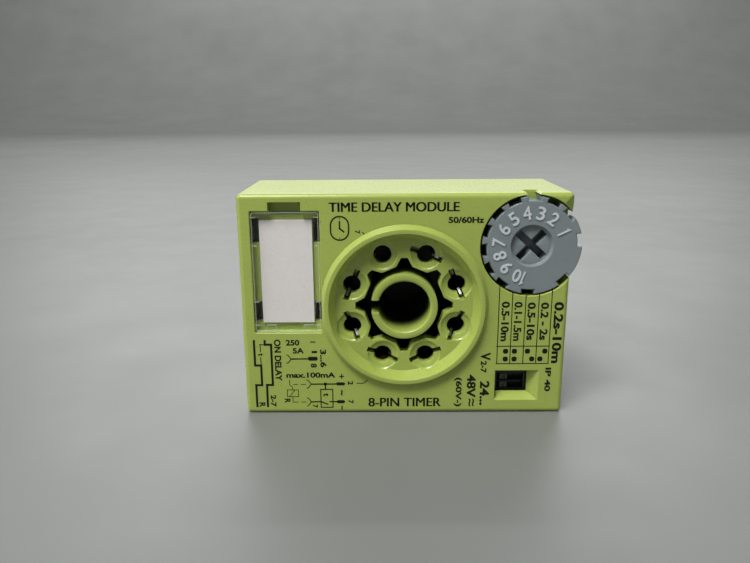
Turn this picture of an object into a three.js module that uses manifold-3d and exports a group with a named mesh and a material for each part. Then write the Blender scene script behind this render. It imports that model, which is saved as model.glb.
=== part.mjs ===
// Plug-in time-delay module for an 8-pin (octal) relay socket, in millimetres, +Z up.
// It stands on its long narrow side: X runs to the right along the front, Y runs from the front
// to the back, Z runs up. A relay plugs into the round receptacle on the front, and the module's
// own eight pins and keyed spigot plug into the socket behind it.
// The model is built round the front face's bottom middle and then moved, so that the origin is
// the bottom centre of its box.

import * as THREE from 'three';
import { mergeVertices } from 'three/addons/utils/BufferGeometryUtils.js';
import { ConvexGeometry } from 'three/addons/geometries/ConvexGeometry.js';
import Module from 'manifold-3d';

const wasm = await Module();
wasm.setup();

// ---------------------------------------------------------------- driving dimensions

// Clearances
const SEAT = 0.3;            // between pieces that rest on each other inside the case
const FIT = 0.15;            // round a piece that drops into a recess or slides
const PAST = 1;              // how far a cutter runs past the face that it cuts
const SAME_POINT = 1e-4;     // corners of one geometry this near are one corner

// Case: an open-backed box
const CASE_W = 50;
const CASE_H = 35;
const CASE_D = 19.5;
const WALL = 1.6;
const POST = 2.4;            // square posts in the corners, which hold the board

// Base plate, which closes the back, with four snap hooks
const BASE_T = 2;
const BASE_FIT = 0.25;
const HOOK_W = 5;
const HOOK_T = 1.1;
const HOOK_REACH = 4.2;      // from the plate to the hook's front end
const HOOK_BARB = 1.2;       // how far the barb enters the case's wall
const HOOK_BARB_L = 1.8;
const HOOK_SPREAD = 9;       // each hook's height above or below the middle

// Octal plug and receptacle
const PIN_COUNT = 8;
const PIN_CIRCLE_R = 8.725;
const PIN_R = 1.18;
const PIN_L = 11.1;
const PIN_HEAD_R = 2;
const PIN_HEAD_T = 0.8;
const PIN_ROUND = 0.7;       // of the pin's tip
const SPIGOT_R = 3.95;
const SPIGOT_L = 13.5;
const SPIGOT_BORE_R = 2.4;
const SPIGOT_BORE_L = 10.5;
const SPIGOT_CHAMFER = 0.8;
const KEY_W = 2;
const KEY_OUT = 1.1;         // how far the key stands out of the spigot
const KEY_L = 12;

// Receptacle: a raised collar round a sunk floor with eight pin holes
const COLLAR_PROUD = 0.9;
const COLLAR_BASE_R = 12.75;
const COLLAR_TOP_R = 12.45;
const LIP_R = 11.9;
const LIP_BEVEL_R = 11.4;
const LIP_BEVEL_D = 0.5;
const FLOOR_R = 10.7;
const FLOOR_DEPTH = 1;
const FLOOR_T = 1.8;
const CUP_WALL = 1.4;        // of the cup behind the face, round the floor
const DISH_R = 2.35;
const DISH_DEPTH = 0.6;
const HOLE_R = 1.4;
const SLOT_L = 5.2;
const SLOT_W = 0.85;
const PLAIN_HOLE = 7;        // the pin whose hole has no slot
const STAR_TIP_R = PIN_CIRCLE_R - 1.175;
const STAR_CORNER_R = PIN_CIRCLE_R - 2.475;
const STAR_TIP_HALF_W = 0.5;
const STAR_CORNER_ANGLE = 11.5;

// Guide tube for the relay's own spigot, one piece with the base plate
const TUBE_R = 5.15;
const TUBE_BORE_R = 4;
const TUBE_FRONT = 0.3;
const TUBE_CHAMFER = 0.35;
const KEYWAY_W = 2.1;

// Spring contacts: a flat fork behind each pin hole
const FORK_W = 4.8;
const FORK_T = 0.5;
const FORK_GAP = 2.2;
const FORK_PRONG_L = 8;
const FORK_TIP_FLARE = 0.35;
const FORK_FRONT = 2.5;

// Time dial in the top right corner
const DIAL_INSET = 5.95;     // its centre from the case's right side
const DIAL_DROP = 8;         // its centre below the case's top
const DIAL_R = 7.5;
const DIAL_T = 3.2;
const DIAL_FRONT = 0.1;
const DIAL_NOTCH_D = 0.7;
const DIAL_NOTCH_W = 1.9;
const DIAL_STEP = 24;        // degrees from one numeral to the next
const DIAL_STEPS = 10;
const DIAL_FIRST = 29.4;     // where numeral 1 stands at rest
const DIAL_GRIPS = [267.4, 313.5, 7];
const DIAL_FACE_R = 3.2;
const DIAL_FACE_D = 0.45;
const CROSS_L = 5.5;
const CROSS_W = 1.15;
const CROSS_D = 1.6;
const CROSS_TURN = 47;
const POCKET_FIT = 0.25;     // round the dial, and behind it

// Index notch in the top edge over the dial, and the facet on the corner beside it
const INDEX_TOP_W = 2.4;
const INDEX_LOW_W = 1.5;
const FACET_TOP = 0.15;       // from the case's side to the facet's upper end
const FACET_W = 2.8;          // the same at its lower end
const FACET_DROP = 3.2;
const FACET_SLOPE = 0.41;     // how much it deepens per mm towards the side

// Potentiometer behind the dial
const POT_W = 7.4;
const POT_T = 4;
const POT_FLOOR = 0.6;
const ROTOR_R = 2.9;
const ROTOR_FIT = 0.1;
const ROTOR_T = 3.1;
const ROTOR_FLOOR = 0.6;
const HUB_R = 1.9;
const HUB_FIT = 0.25;
const HUB_L = 3.4;

// Label window: a shallow recess with a clear cover, a card and four slots for the cover's legs
const WINDOW_LEFT = 1.95;    // from the case's left side
const WINDOW_TOP = 2.6;      // from the case's top
const WINDOW_W = 10.35;
const WINDOW_H = 18.9;
const WINDOW_DEPTH = 1.4;
const WINDOW_BACK = 1;
const COVER_T = 0.8;
const COVER_FRONT = 0.05;
const LEG_T = 0.6;
const LEG_REACH = 2.2;
const CARD_W = 7.95;
const CARD_H = 16.1;
const CARD_T = 0.25;
const CARD_GAP = 0.1;
const SLOT_X = 0.95;         // the leg slots' width, along X
const TOP_SLOT_H = 3.8;
const TOP_SLOT_DROP = 1.15;
const LOW_SLOT_H = 3.2;
const LOW_SLOT_RISE = 1.5;
const PRY_W = 4.85;
const PRY_H = 1.35;
const PRY_DEPTH = 2;

// Range switch: two small sliders in a window at the bottom right
const SWITCH_RIGHT = 4;      // the window's right edge from the case's right side
const SWITCH_LOW = 2.25;     // the window's bottom edge above the case's bottom
const SWITCH_W = 6.7;
const SWITCH_H = 4.85;
const SWITCH_SLOPE_X = 1.45;
const SWITCH_SLOPE_Z = 0.85;
const SWITCH_BODY_FRONT = 2.1;
const SWITCH_RIM = 0.9;
const SWITCH_POCKET_W = 4.2;
const SWITCH_POCKET_D = 1.3;
const SLIDER_W = 1.25;
const SLIDER_H = 1;
const SLIDER_T = 1.1;
const SLIDER_PITCH = 1.35;
const SLIDER_FIT = 0.1;
const SLIDER_START = 0.45;   // from the pocket's left end

// Circuit board and what it carries
const BOARD_FRONT = 8.4;
const BOARD_T = 1.6;
const BOARD_HOLE_R = 11.9;
const LINK_R = 0.35;
const LINK_OUT = 1.5;        // of the link's bend from the board's round hole
const LINK_BEND = 0.8;
const LINK_PINS = [2, 7];    // the coil's pins, which are wired to the board

// ---------------------------------------------------------------- places worked out from them

const MID_Z = CASE_H / 2;
const INSIDE_X = CASE_W / 2 - WALL;
const INSIDE_LOW = WALL;
const INSIDE_HIGH = CASE_H - WALL;
const BASE_FRONT = CASE_D - BASE_T;
const HEAD_FRONT = BASE_FRONT - SEAT - PIN_HEAD_T;
const FLOOR_BACK = FLOOR_DEPTH + FLOOR_T;
const CUP_R = LIP_BEVEL_R + CUP_WALL - LIP_BEVEL_D;
const DIAL_X = CASE_W / 2 - DIAL_INSET;
const DIAL_Z = CASE_H - DIAL_DROP;
const DIAL_BACK = DIAL_FRONT + DIAL_T;
const POCKET_R = DIAL_R + POCKET_FIT;
const POCKET_BACK = DIAL_BACK + POCKET_FIT;
const POT_BACK = BOARD_FRONT - SEAT;
const POT_FRONT = POT_BACK - POT_T;
const BOARD_BACK = BOARD_FRONT + BOARD_T;
const WINDOW_X0 = -CASE_W / 2 + WINDOW_LEFT;
const WINDOW_X1 = WINDOW_X0 + WINDOW_W;
const WINDOW_Z1 = CASE_H - WINDOW_TOP;
const WINDOW_Z0 = WINDOW_Z1 - WINDOW_H;
const COVER_BACK = COVER_FRONT + COVER_T;
const SWITCH_X1 = CASE_W / 2 - SWITCH_RIGHT;
const SWITCH_X0 = SWITCH_X1 - SWITCH_W;
const SWITCH_Z0 = SWITCH_LOW;
const SWITCH_Z1 = SWITCH_LOW + SWITCH_H;
const pinAngle = (number) => -180 + (number - 0.5) * 360 / PIN_COUNT;

// The pocket that the sliders run in sits in the middle of the window's inner opening.
const POCKET_X = SWITCH_X0 + (SWITCH_W - SWITCH_SLOPE_X) / 2 + SLIDER_FIT;
const POCKET_Z = SWITCH_Z0 + (SWITCH_H + SWITCH_SLOPE_Z) / 2 - SLIDER_H / 2;
const POCKET_X0 = POCKET_X - SWITCH_POCKET_W / 2;
const GROOVE_H = SLIDER_H + 2 * SLIDER_FIT;

// ---------------------------------------------------------------- shapes

const radians = THREE.MathUtils.degToRad;

// A closed three.js geometry as a solid that can be cut and joined.
function solid(geometry) {
  const bare = geometry.clone();
  bare.deleteAttribute('normal');
  bare.deleteAttribute('uv');
  const merged = mergeVertices(bare, SAME_POINT);
  const corners = [];
  for (let i = 0; i < merged.index.count; i += 3) {
    const [a, b, c] = merged.index.array.slice(i, i + 3);
    if (a !== b && b !== c && c !== a) corners.push(a, b, c);
  }
  return new wasm.Manifold(new wasm.Mesh({
    numProp: 3,
    vertProperties: merged.attributes.position.array,
    triVerts: new Uint32Array(corners),
  }));
}

function geometryOf(shape) {
  const mesh = shape.getMesh();
  const geometry = new THREE.BufferGeometry();
  geometry.setAttribute('position', new THREE.BufferAttribute(mesh.vertProperties, mesh.numProp));
  geometry.setIndex(new THREE.BufferAttribute(mesh.triVerts, 1));
  geometry.computeVertexNormals();
  return geometry;
}

const join = (...shapes) => shapes.reduce((whole, next) => whole.add(next));
const cut = (shape, ...cutters) => cutters.reduce((rest, next) => rest.subtract(next), shape);

function box(x0, x1, y0, y1, z0, z1) {
  const geometry = new THREE.BoxGeometry(x1 - x0, y1 - y0, z1 - z0);
  return solid(geometry.translate((x0 + x1) / 2, (y0 + y1) / 2, (z0 + z1) / 2));
}

// A round bar along Y.
function disc(x, z, radius, y0, y1, segments = 32) {
  const geometry = new THREE.CylinderGeometry(radius, radius, y1 - y0, segments);
  return solid(geometry.translate(x, (y0 + y1) / 2, z));
}

// A solid of revolution about a line along Y, from [radius, y] points that run towards +Y outside.
function turned(x, z, profile, segments = 32) {
  const points = profile.map(([radius, y]) => new THREE.Vector2(radius, y));
  return solid(new THREE.LatheGeometry(points, segments).translate(x, 0, z));
}

// An outline of [x, z] points with a thickness along Y.
function plate(outline, y0, y1) {
  const shape = new THREE.Shape(outline.map(([x, z]) => new THREE.Vector2(x, z)));
  const geometry = new THREE.ExtrudeGeometry(shape, { depth: y1 - y0, bevelEnabled: false });
  return solid(geometry.rotateX(Math.PI / 2).translate(0, y1, 0));
}

// An outline of [z, y] points with a thickness along X, centred on x.
function sideways(outline, x, thickness) {
  const shape = new THREE.Shape(outline.map(([z, y]) => new THREE.Vector2(-z, y)));
  const geometry = new THREE.ExtrudeGeometry(shape, { depth: thickness, bevelEnabled: false });
  return solid(geometry.rotateY(Math.PI / 2).translate(x - thickness / 2, 0, 0));
}

const hull = (points) => solid(new ConvexGeometry(points.map((p) => new THREE.Vector3(...p))));

// The same shape turned about a line along Y through (x, z), by degrees counter-clockwise
// as seen from the front.
function turnedBy(shape, degrees, x, z) {
  const matrix = new THREE.Matrix4().makeTranslation(x, 0, z)
    .multiply(new THREE.Matrix4().makeRotationY(-radians(degrees)))
    .multiply(new THREE.Matrix4().makeTranslation(-x, 0, -z));
  return shape.transform(matrix.elements);
}

// ---------------------------------------------------------------- materials

const material = (color, roughness, metalness = 0) =>
  new THREE.MeshStandardMaterial({ color, roughness, metalness, flatShading: true });

const GREEN = material(0x9bb04f, 0.5);
const GREY = material(0x6b7275, 0.5);
const CLEAR = new THREE.MeshStandardMaterial({
  color: 0xdfe6d8, roughness: 0.15, transparent: true, opacity: 0.35,
});
const CARD = material(0xd6cfce, 0.8);
const IVORY = material(0xd8d2c4, 0.5);
const BLACK = material(0x17181a, 0.5);
const SLIDER = material(0x55584f, 0.5);
const BRASS = material(0xc8b06a, 0.3, 1);
const TIN = material(0xbfc2c4, 0.3, 1);
const BOARD = material(0x9a7b3f, 0.6);
const BLUE = material(0x2f4f86, 0.45);
const RED = material(0x9c3a2c, 0.5);
const TAN = material(0xc3a878, 0.6);

const part = new THREE.Group();

function add(name, shape, look, parent = part) {
  const mesh = new THREE.Mesh(geometryOf(shape), look);
  mesh.name = name;
  parent.add(mesh);
  return mesh;
}

// ---------------------------------------------------------------- case

// The raised collar and, behind the face, the cup round the sunk floor.
function collar() {
  return join(
    turned(0, MID_Z, [
      [0, -COLLAR_PROUD],
      [COLLAR_TOP_R, -COLLAR_PROUD],
      [COLLAR_BASE_R, 0],
      [COLLAR_BASE_R, WALL / 2],
      [0, WALL / 2],
    ], 48),
    disc(0, MID_Z, CUP_R, WALL / 2, FLOOR_BACK, 48),
  );
}

function receptacleRecess() {
  return turned(0, MID_Z, [
    [0, -COLLAR_PROUD - PAST],
    [LIP_R, -COLLAR_PROUD - PAST],
    [LIP_R, -COLLAR_PROUD],
    [LIP_BEVEL_R, -COLLAR_PROUD + LIP_BEVEL_D],
    [FLOOR_R, FLOOR_DEPTH],
    [0, FLOOR_DEPTH],
  ], 48);
}

// The opening round the guide tube: a ring with a pointed notch between each pair of pin holes.
function starOpening() {
  const outline = [];
  const polar = (r, degrees) => [
    r * Math.cos(radians(degrees)), MID_Z + r * Math.sin(radians(degrees)),
  ];
  const tipTurn = THREE.MathUtils.radToDeg(Math.asin(STAR_TIP_HALF_W / STAR_TIP_R));
  for (let k = 0; k < PIN_COUNT; k += 1) {
    const middle = k * 360 / PIN_COUNT;
    outline.push(
      polar(STAR_CORNER_R, middle - STAR_CORNER_ANGLE),
      polar(STAR_TIP_R, middle - tipTurn),
      polar(STAR_TIP_R, middle + tipTurn),
      polar(STAR_CORNER_R, middle + STAR_CORNER_ANGLE),
    );
  }
  return plate(outline, FLOOR_DEPTH - PAST, FLOOR_BACK + PAST);
}

// One pin hole at angle 0: a dished mouth, the hole and the slot for the contact's two prongs.
function pinHole(slotted) {
  const x = PIN_CIRCLE_R;
  const mouth = turned(x, MID_Z, [
    [0, FLOOR_DEPTH - PAST],
    [DISH_R, FLOOR_DEPTH - PAST],
    [DISH_R, FLOOR_DEPTH],
    [HOLE_R, FLOOR_DEPTH + DISH_DEPTH],
    [HOLE_R, FLOOR_BACK + PAST],
    [0, FLOOR_BACK + PAST],
  ], 16);
  if (!slotted) return mouth;
  const slot = box(
    x - SLOT_W / 2, x + SLOT_W / 2, FLOOR_DEPTH - PAST, FLOOR_BACK + PAST,
    MID_Z - SLOT_L / 2, MID_Z + SLOT_L / 2,
  );
  return join(mouth, slot);
}

function pinHoles() {
  const holes = [];
  for (let number = 1; number <= PIN_COUNT; number += 1) {
    holes.push(turnedBy(pinHole(number !== PLAIN_HOLE), pinAngle(number), 0, MID_Z));
  }
  return join(...holes);
}

function indexNotch() {
  const low = CASE_H - DIAL_DROP + DIAL_R;
  return plate([
    [DIAL_X - INDEX_LOW_W / 2, low],
    [DIAL_X + INDEX_LOW_W / 2, low],
    [DIAL_X + INDEX_TOP_W / 2, CASE_H + PAST],
    [DIAL_X - INDEX_TOP_W / 2, CASE_H + PAST],
  ], -PAST, POCKET_BACK);
}

// The sloping facet on the corner beside the dial. Its ridge on the front face starts near
// the corner and runs down into the dial's pocket.
function cornerFacet() {
  const side = CASE_W / 2;
  const run = (FACET_W - FACET_TOP) / FACET_DROP;
  return hull([CASE_H - FACET_DROP, CASE_H + PAST].flatMap((z) => {
    const ridge = side - FACET_TOP + (z - CASE_H) * run;
    const depth = (side + PAST - ridge) * FACET_SLOPE;
    return [
      [ridge, 0, z], [side + PAST, depth, z], [ridge, -PAST, z], [side + PAST, -PAST, z],
    ];
  }));
}

// The four slots for the label cover's legs, as [x0, x1, z0, z1].
function legSlots() {
  const rows = [
    [WINDOW_Z1 - TOP_SLOT_DROP - TOP_SLOT_H, WINDOW_Z1 - TOP_SLOT_DROP],
    [WINDOW_Z0 + LOW_SLOT_RISE, WINDOW_Z0 + LOW_SLOT_RISE + LOW_SLOT_H],
  ];
  return rows.flatMap(([z0, z1]) => [
    [WINDOW_X0, WINDOW_X0 + SLOT_X, z0, z1],
    [WINDOW_X1 - SLOT_X, WINDOW_X1, z0, z1],
  ]);
}

function labelRecess() {
  const middle = (WINDOW_X0 + WINDOW_X1) / 2;
  const back = WINDOW_DEPTH + WINDOW_BACK + PAST;
  return join(
    box(WINDOW_X0, WINDOW_X1, -PAST, WINDOW_DEPTH, WINDOW_Z0, WINDOW_Z1),
    box(middle - PRY_W / 2, middle + PRY_W / 2, -PAST, PRY_DEPTH, WINDOW_Z1 - PAST,
      WINDOW_Z1 + PRY_H),
    ...legSlots().map(([x0, x1, z0, z1]) => box(x0, x1, 0, back, z0, z1)),
  );
}

// The switch window: square at the left and the top, sloping at the right and the bottom.
function switchWindow() {
  const front = [SWITCH_X0, SWITCH_X1, SWITCH_Z0, SWITCH_Z1];
  const back = [SWITCH_X0, SWITCH_X1 - SWITCH_SLOPE_X, SWITCH_Z0 + SWITCH_SLOPE_Z, SWITCH_Z1];
  const corners = ([x0, x1, z0, z1], y) => [[x0, y, z0], [x1, y, z0], [x1, y, z1], [x0, y, z1]];
  return join(
    hull([...corners(front, 0), ...corners(front, -PAST), ...corners(back, WALL)]),
    box(back[0], back[1], WALL / 2, WALL + PAST, back[2], back[3]),
  );
}

// The hooks' places, as [side, z], with side -1 at the left and 1 at the right.
const HOOKS = [-1, 1].flatMap((side) => [-1, 1].map((row) => [side, MID_Z + row * HOOK_SPREAD]));

function snapWindow(side, z) {
  const y0 = BASE_FRONT - HOOK_REACH - FIT;
  const inner = side * (INSIDE_X - PAST);
  const outer = side * (CASE_W / 2 + PAST);
  return box(
    Math.min(inner, outer), Math.max(inner, outer), y0, y0 + HOOK_BARB_L + 2 * FIT,
    z - HOOK_W / 2 - FIT, z + HOOK_W / 2 + FIT,
  );
}

// The corner posts' squares, as [x0, x1, z0, z1].
const POSTS = [-1, 1].flatMap((side) => [
  [INSIDE_LOW, INSIDE_LOW + POST], [INSIDE_HIGH - POST, INSIDE_HIGH],
].map(([z0, z1]) => {
  const ends = [side * (INSIDE_X - POST), side * INSIDE_X].sort((a, b) => a - b);
  return [...ends, z0, z1];
}));

// The room that the potentiometer needs beside the corner post.
function potRoom() {
  const half = POT_W / 2 + FIT;
  return box(
    DIAL_X - half, DIAL_X + half, POT_FRONT - FIT, BOARD_FRONT, DIAL_Z - half, DIAL_Z + half,
  );
}

function caseShell() {
  const block = box(-CASE_W / 2, CASE_W / 2, 0, CASE_D, 0, CASE_H);
  const hollow = box(-INSIDE_X, INSIDE_X, WALL, CASE_D + PAST, INSIDE_LOW, INSIDE_HIGH);
  const pad = box(
    -INSIDE_X - WALL / 2, WINDOW_X1, WALL / 2, WINDOW_DEPTH + WINDOW_BACK,
    WINDOW_Z0 - WINDOW_BACK, INSIDE_HIGH + WALL / 2,
  );
  const posts = POSTS.map(([x0, x1, z0, z1]) => {
    const [left, right] = x0 < 0 ? [x0 - WALL / 2, x1] : [x0, x1 + WALL / 2];
    const [low, high] = z0 < MID_Z ? [z0 - WALL / 2, z1] : [z0, z1 + WALL / 2];
    return box(left, right, WALL / 2, BOARD_FRONT - SEAT, low, high);
  });
  return cut(
    join(cut(block, hollow), pad, ...posts, collar()),
    receptacleRecess(),
    starOpening(),
    pinHoles(),
    disc(DIAL_X, DIAL_Z, POCKET_R, -PAST, POCKET_BACK, 48),
    indexNotch(),
    cornerFacet(),
    labelRecess(),
    switchWindow(),
    potRoom(),
    ...HOOKS.map(([side, z]) => snapWindow(side, z)),
  );
}

add('housing', caseShell(), GREEN);

// ---------------------------------------------------------------- base plate with its plug

function snapHook(side, z) {
  const outer = INSIDE_X - BASE_FIT;
  const front = BASE_FRONT - HOOK_REACH;
  const arm = [
    [outer - HOOK_T, BASE_FRONT + BASE_T / 2],
    [outer - HOOK_T, front],
    [outer, front],
    [INSIDE_X + HOOK_BARB, front + HOOK_BARB_L],
    [outer, front + HOOK_BARB_L],
    [outer, BASE_FRONT + BASE_T / 2],
  ].map(([x, y]) => [side * x, y]);
  const shape = new THREE.Shape(arm.map(([x, y]) => new THREE.Vector2(x, y)));
  const geometry = new THREE.ExtrudeGeometry(shape, { depth: HOOK_W, bevelEnabled: false });
  return solid(geometry.translate(0, 0, z - HOOK_W / 2));
}

// The guide tube in front of the plate, with a keyway on the pin circle's left.
function guideTube() {
  const tube = turned(0, MID_Z, [
    [TUBE_BORE_R + TUBE_CHAMFER, TUBE_FRONT],
    [TUBE_R, TUBE_FRONT],
    [TUBE_R, BASE_FRONT + BASE_T / 2],
    [TUBE_BORE_R, BASE_FRONT + BASE_T / 2],
    [TUBE_BORE_R, TUBE_FRONT + TUBE_CHAMFER],
    [TUBE_BORE_R + TUBE_CHAMFER, TUBE_FRONT],
  ], 32);
  const keyway = box(
    -TUBE_R - PAST, 0, TUBE_FRONT - PAST, BASE_FRONT,
    MID_Z - KEYWAY_W / 2, MID_Z + KEYWAY_W / 2,
  );
  return cut(tube, keyway);
}

// The spigot behind the plate, hollow from its tip, with the key on the same side.
function spigot() {
  const tip = CASE_D + SPIGOT_L;
  const core = turned(0, MID_Z, [
    [0, BASE_FRONT + BASE_T / 2],
    [SPIGOT_R, BASE_FRONT + BASE_T / 2],
    [SPIGOT_R, tip - SPIGOT_CHAMFER],
    [SPIGOT_R - SPIGOT_CHAMFER, tip],
    [0, tip],
  ], 32);
  const key = box(
    -SPIGOT_R - KEY_OUT, -SPIGOT_BORE_R, BASE_FRONT + BASE_T / 2, CASE_D + KEY_L,
    MID_Z - KEY_W / 2, MID_Z + KEY_W / 2,
  );
  const bore = disc(0, MID_Z, SPIGOT_BORE_R, tip - SPIGOT_BORE_L, tip + PAST, 24);
  return cut(join(core, key), bore);
}

function basePlate() {
  const x = INSIDE_X - BASE_FIT;
  const slab = box(-x, x, BASE_FRONT, CASE_D, INSIDE_LOW + BASE_FIT, INSIDE_HIGH - BASE_FIT);
  const pillars = POSTS.map(([x0, x1, z0, z1]) => box(
    x0 + BASE_FIT, x1 - BASE_FIT, BOARD_BACK + SEAT, BASE_FRONT + BASE_T / 2,
    z0 + BASE_FIT, z1 - BASE_FIT,
  ));
  const holes = [];
  for (let number = 1; number <= PIN_COUNT; number += 1) {
    const hole = disc(PIN_CIRCLE_R, MID_Z, PIN_R + SEAT, BASE_FRONT - PAST, CASE_D + PAST, 12);
    holes.push(turnedBy(hole, pinAngle(number), 0, MID_Z));
  }
  return join(
    cut(slab, ...holes),
    guideTube(),
    spigot(),
    ...pillars,
    ...HOOKS.map(([side, z]) => snapHook(side, z)),
  );
}

add('base_plate', basePlate(), GREEN);

// ---------------------------------------------------------------- pins and spring contacts

// A headed pin with a rounded tip. Its line is the Y axis of its own group.
function plugPin() {
  const tip = CASE_D + PIN_L;
  return turned(PIN_CIRCLE_R, 0, [
    [0, HEAD_FRONT],
    [PIN_HEAD_R, HEAD_FRONT],
    [PIN_HEAD_R, HEAD_FRONT + PIN_HEAD_T],
    [PIN_R, HEAD_FRONT + PIN_HEAD_T],
    [PIN_R, tip - PIN_ROUND],
    [PIN_R - PIN_ROUND * 0.3, tip - PIN_ROUND * 0.3],
    [PIN_R - PIN_ROUND, tip],
    [0, tip],
  ], 12);
}

// A flat fork that grips the relay's pin. Its tips stand in the hole's slot, except behind the
// plain hole, where they stop behind the floor.
function springContact(slotted) {
  const front = slotted ? FORK_FRONT : FLOOR_BACK + SEAT;
  const back = HEAD_FRONT - SEAT;
  const root = front + FORK_PRONG_L;
  const outer = FORK_W / 2;
  const inner = FORK_GAP / 2;
  const half = [
    [outer, back],
    [outer, front],
    [outer - FORK_TIP_FLARE, front],
    [inner, front + 2 * FORK_TIP_FLARE],
    [inner, root],
  ];
  const mirrored = half.map(([z, y]) => [-z, y]).reverse();
  return sideways([...half, ...mirrored], PIN_CIRCLE_R, FORK_T);
}

// A wire from a coil pin's head out to the board and along Y to it.
function coilLink() {
  const start = PIN_CIRCLE_R + PIN_HEAD_R + LINK_R;
  const level = HEAD_FRONT + PIN_HEAD_T / 2;
  const column = BOARD_HOLE_R + LINK_OUT;
  const path = new THREE.CurvePath();
  const corner = new THREE.Vector3(column, level, 0);
  const before = new THREE.Vector3(column - LINK_BEND, level, 0);
  const after = new THREE.Vector3(column, level - LINK_BEND, 0);
  path.add(new THREE.LineCurve3(new THREE.Vector3(start, level, 0), before));
  path.add(new THREE.QuadraticBezierCurve3(before, corner, after));
  path.add(new THREE.LineCurve3(after, new THREE.Vector3(column, BOARD_BACK + SEAT, 0)));
  const ring = new THREE.Shape().absarc(0, 0, LINK_R, 0, 2 * Math.PI);
  return solid(new THREE.ExtrudeGeometry(ring, {
    steps: 12, extrudePath: path, curveSegments: 3, bevelEnabled: false,
  }));
}

for (let number = 1; number <= PIN_COUNT; number += 1) {
  const spoke = new THREE.Group();
  spoke.position.z = MID_Z;
  spoke.rotation.y = -radians(pinAngle(number));
  part.add(spoke);
  add(`pin_${number}`, plugPin(), BRASS, spoke);
  add(`contact_${number}`, springContact(number !== PLAIN_HOLE), TIN, spoke);
  if (LINK_PINS.includes(number)) add(`coil_link_${number}`, coilLink(), TIN, spoke);
}

// ---------------------------------------------------------------- label window's cover and card

function windowCover() {
  const sheet = box(
    WINDOW_X0 + FIT, WINDOW_X1 - FIT, COVER_FRONT, COVER_BACK,
    WINDOW_Z0 + FIT, WINDOW_Z1 - FIT,
  );
  const inset = (SLOT_X - LEG_T) / 2;
  const legs = legSlots().map(([x0, x1, z0, z1]) => box(
    x0 + inset, x1 - inset, COVER_FRONT + COVER_T / 2, COVER_BACK + LEG_REACH, z0 + FIT, z1 - FIT,
  ));
  return join(sheet, ...legs);
}

function labelCard() {
  const x = (WINDOW_X0 + WINDOW_X1) / 2;
  const z = (WINDOW_Z0 + WINDOW_Z1) / 2;
  const y = COVER_BACK + CARD_GAP;
  return box(x - CARD_W / 2, x + CARD_W / 2, y, y + CARD_T, z - CARD_H / 2, z + CARD_H / 2);
}

add('window_cover', windowCover(), CLEAR);
add('label_card', labelCard(), CARD);

// ---------------------------------------------------------------- dial and potentiometer

// One notch for each half step of the scale, and three grip notches on the blank stretch.
function dialNotches() {
  const angles = [...DIAL_GRIPS];
  for (let step = 0; step < DIAL_STEPS - 1; step += 1) {
    angles.push(DIAL_FIRST + (step + 0.5) * DIAL_STEP);
  }
  const notch = box(
    DIAL_X + DIAL_R - DIAL_NOTCH_D, DIAL_X + DIAL_R + PAST,
    DIAL_FRONT - PAST, DIAL_BACK + PAST,
    DIAL_Z - DIAL_NOTCH_W / 2, DIAL_Z + DIAL_NOTCH_W / 2,
  );
  return angles.map((angle) => turnedBy(notch, angle, DIAL_X, DIAL_Z));
}

function crossSlot() {
  const y1 = DIAL_FRONT + DIAL_FACE_D + CROSS_D;
  return [CROSS_TURN, CROSS_TURN + 90].map((angle) => turnedBy(
    box(
      DIAL_X - CROSS_L / 2, DIAL_X + CROSS_L / 2, DIAL_FRONT - PAST, y1,
      DIAL_Z - CROSS_W / 2, DIAL_Z + CROSS_W / 2,
    ), angle, DIAL_X, DIAL_Z,
  ));
}

function timeDial() {
  const wheel = cut(
    disc(DIAL_X, DIAL_Z, DIAL_R, DIAL_FRONT, DIAL_BACK, 48),
    disc(DIAL_X, DIAL_Z, DIAL_FACE_R, DIAL_FRONT - PAST, DIAL_FRONT + DIAL_FACE_D, 24),
    ...crossSlot(),
    ...dialNotches(),
  );
  return join(wheel, disc(DIAL_X, DIAL_Z, HUB_R, DIAL_BACK - DIAL_FACE_D, DIAL_BACK + HUB_L, 16));
}

function potBody() {
  const half = POT_W / 2;
  return cut(
    box(DIAL_X - half, DIAL_X + half, POT_FRONT, POT_BACK, DIAL_Z - half, DIAL_Z + half),
    disc(DIAL_X, DIAL_Z, ROTOR_R + ROTOR_FIT, POT_FRONT - PAST, POT_BACK - POT_FLOOR, 24),
  );
}

function potRotor() {
  const back = POT_BACK - POT_FLOOR - ROTOR_FIT;
  const front = back - ROTOR_T;
  return cut(
    disc(DIAL_X, DIAL_Z, ROTOR_R, front, back, 24),
    disc(DIAL_X, DIAL_Z, HUB_R + HUB_FIT, front - PAST, back - ROTOR_FLOOR, 16),
  );
}

add('time_dial', timeDial(), GREY);
add('pot_body', potBody(), BLUE);
add('pot_rotor', potRotor(), IVORY);

// ---------------------------------------------------------------- range switch

// The middle height of each slider's groove, from the lower to the upper.
const SLIDER_Z = [POCKET_Z - SLIDER_PITCH / 2, POCKET_Z + SLIDER_PITCH / 2];

function switchBody() {
  const half = SLIDER_PITCH / 2 + GROOVE_H / 2 + SWITCH_RIM;
  const body = box(
    POCKET_X0 - SWITCH_RIM, POCKET_X0 + SWITCH_POCKET_W + SWITCH_RIM,
    SWITCH_BODY_FRONT, BOARD_FRONT - SEAT, POCKET_Z - half, POCKET_Z + half,
  );
  return cut(body, ...SLIDER_Z.map((z) => box(
    POCKET_X0, POCKET_X0 + SWITCH_POCKET_W,
    SWITCH_BODY_FRONT - PAST, SWITCH_BODY_FRONT + SWITCH_POCKET_D,
    z - GROOVE_H / 2, z + GROOVE_H / 2,
  )));
}

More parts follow.
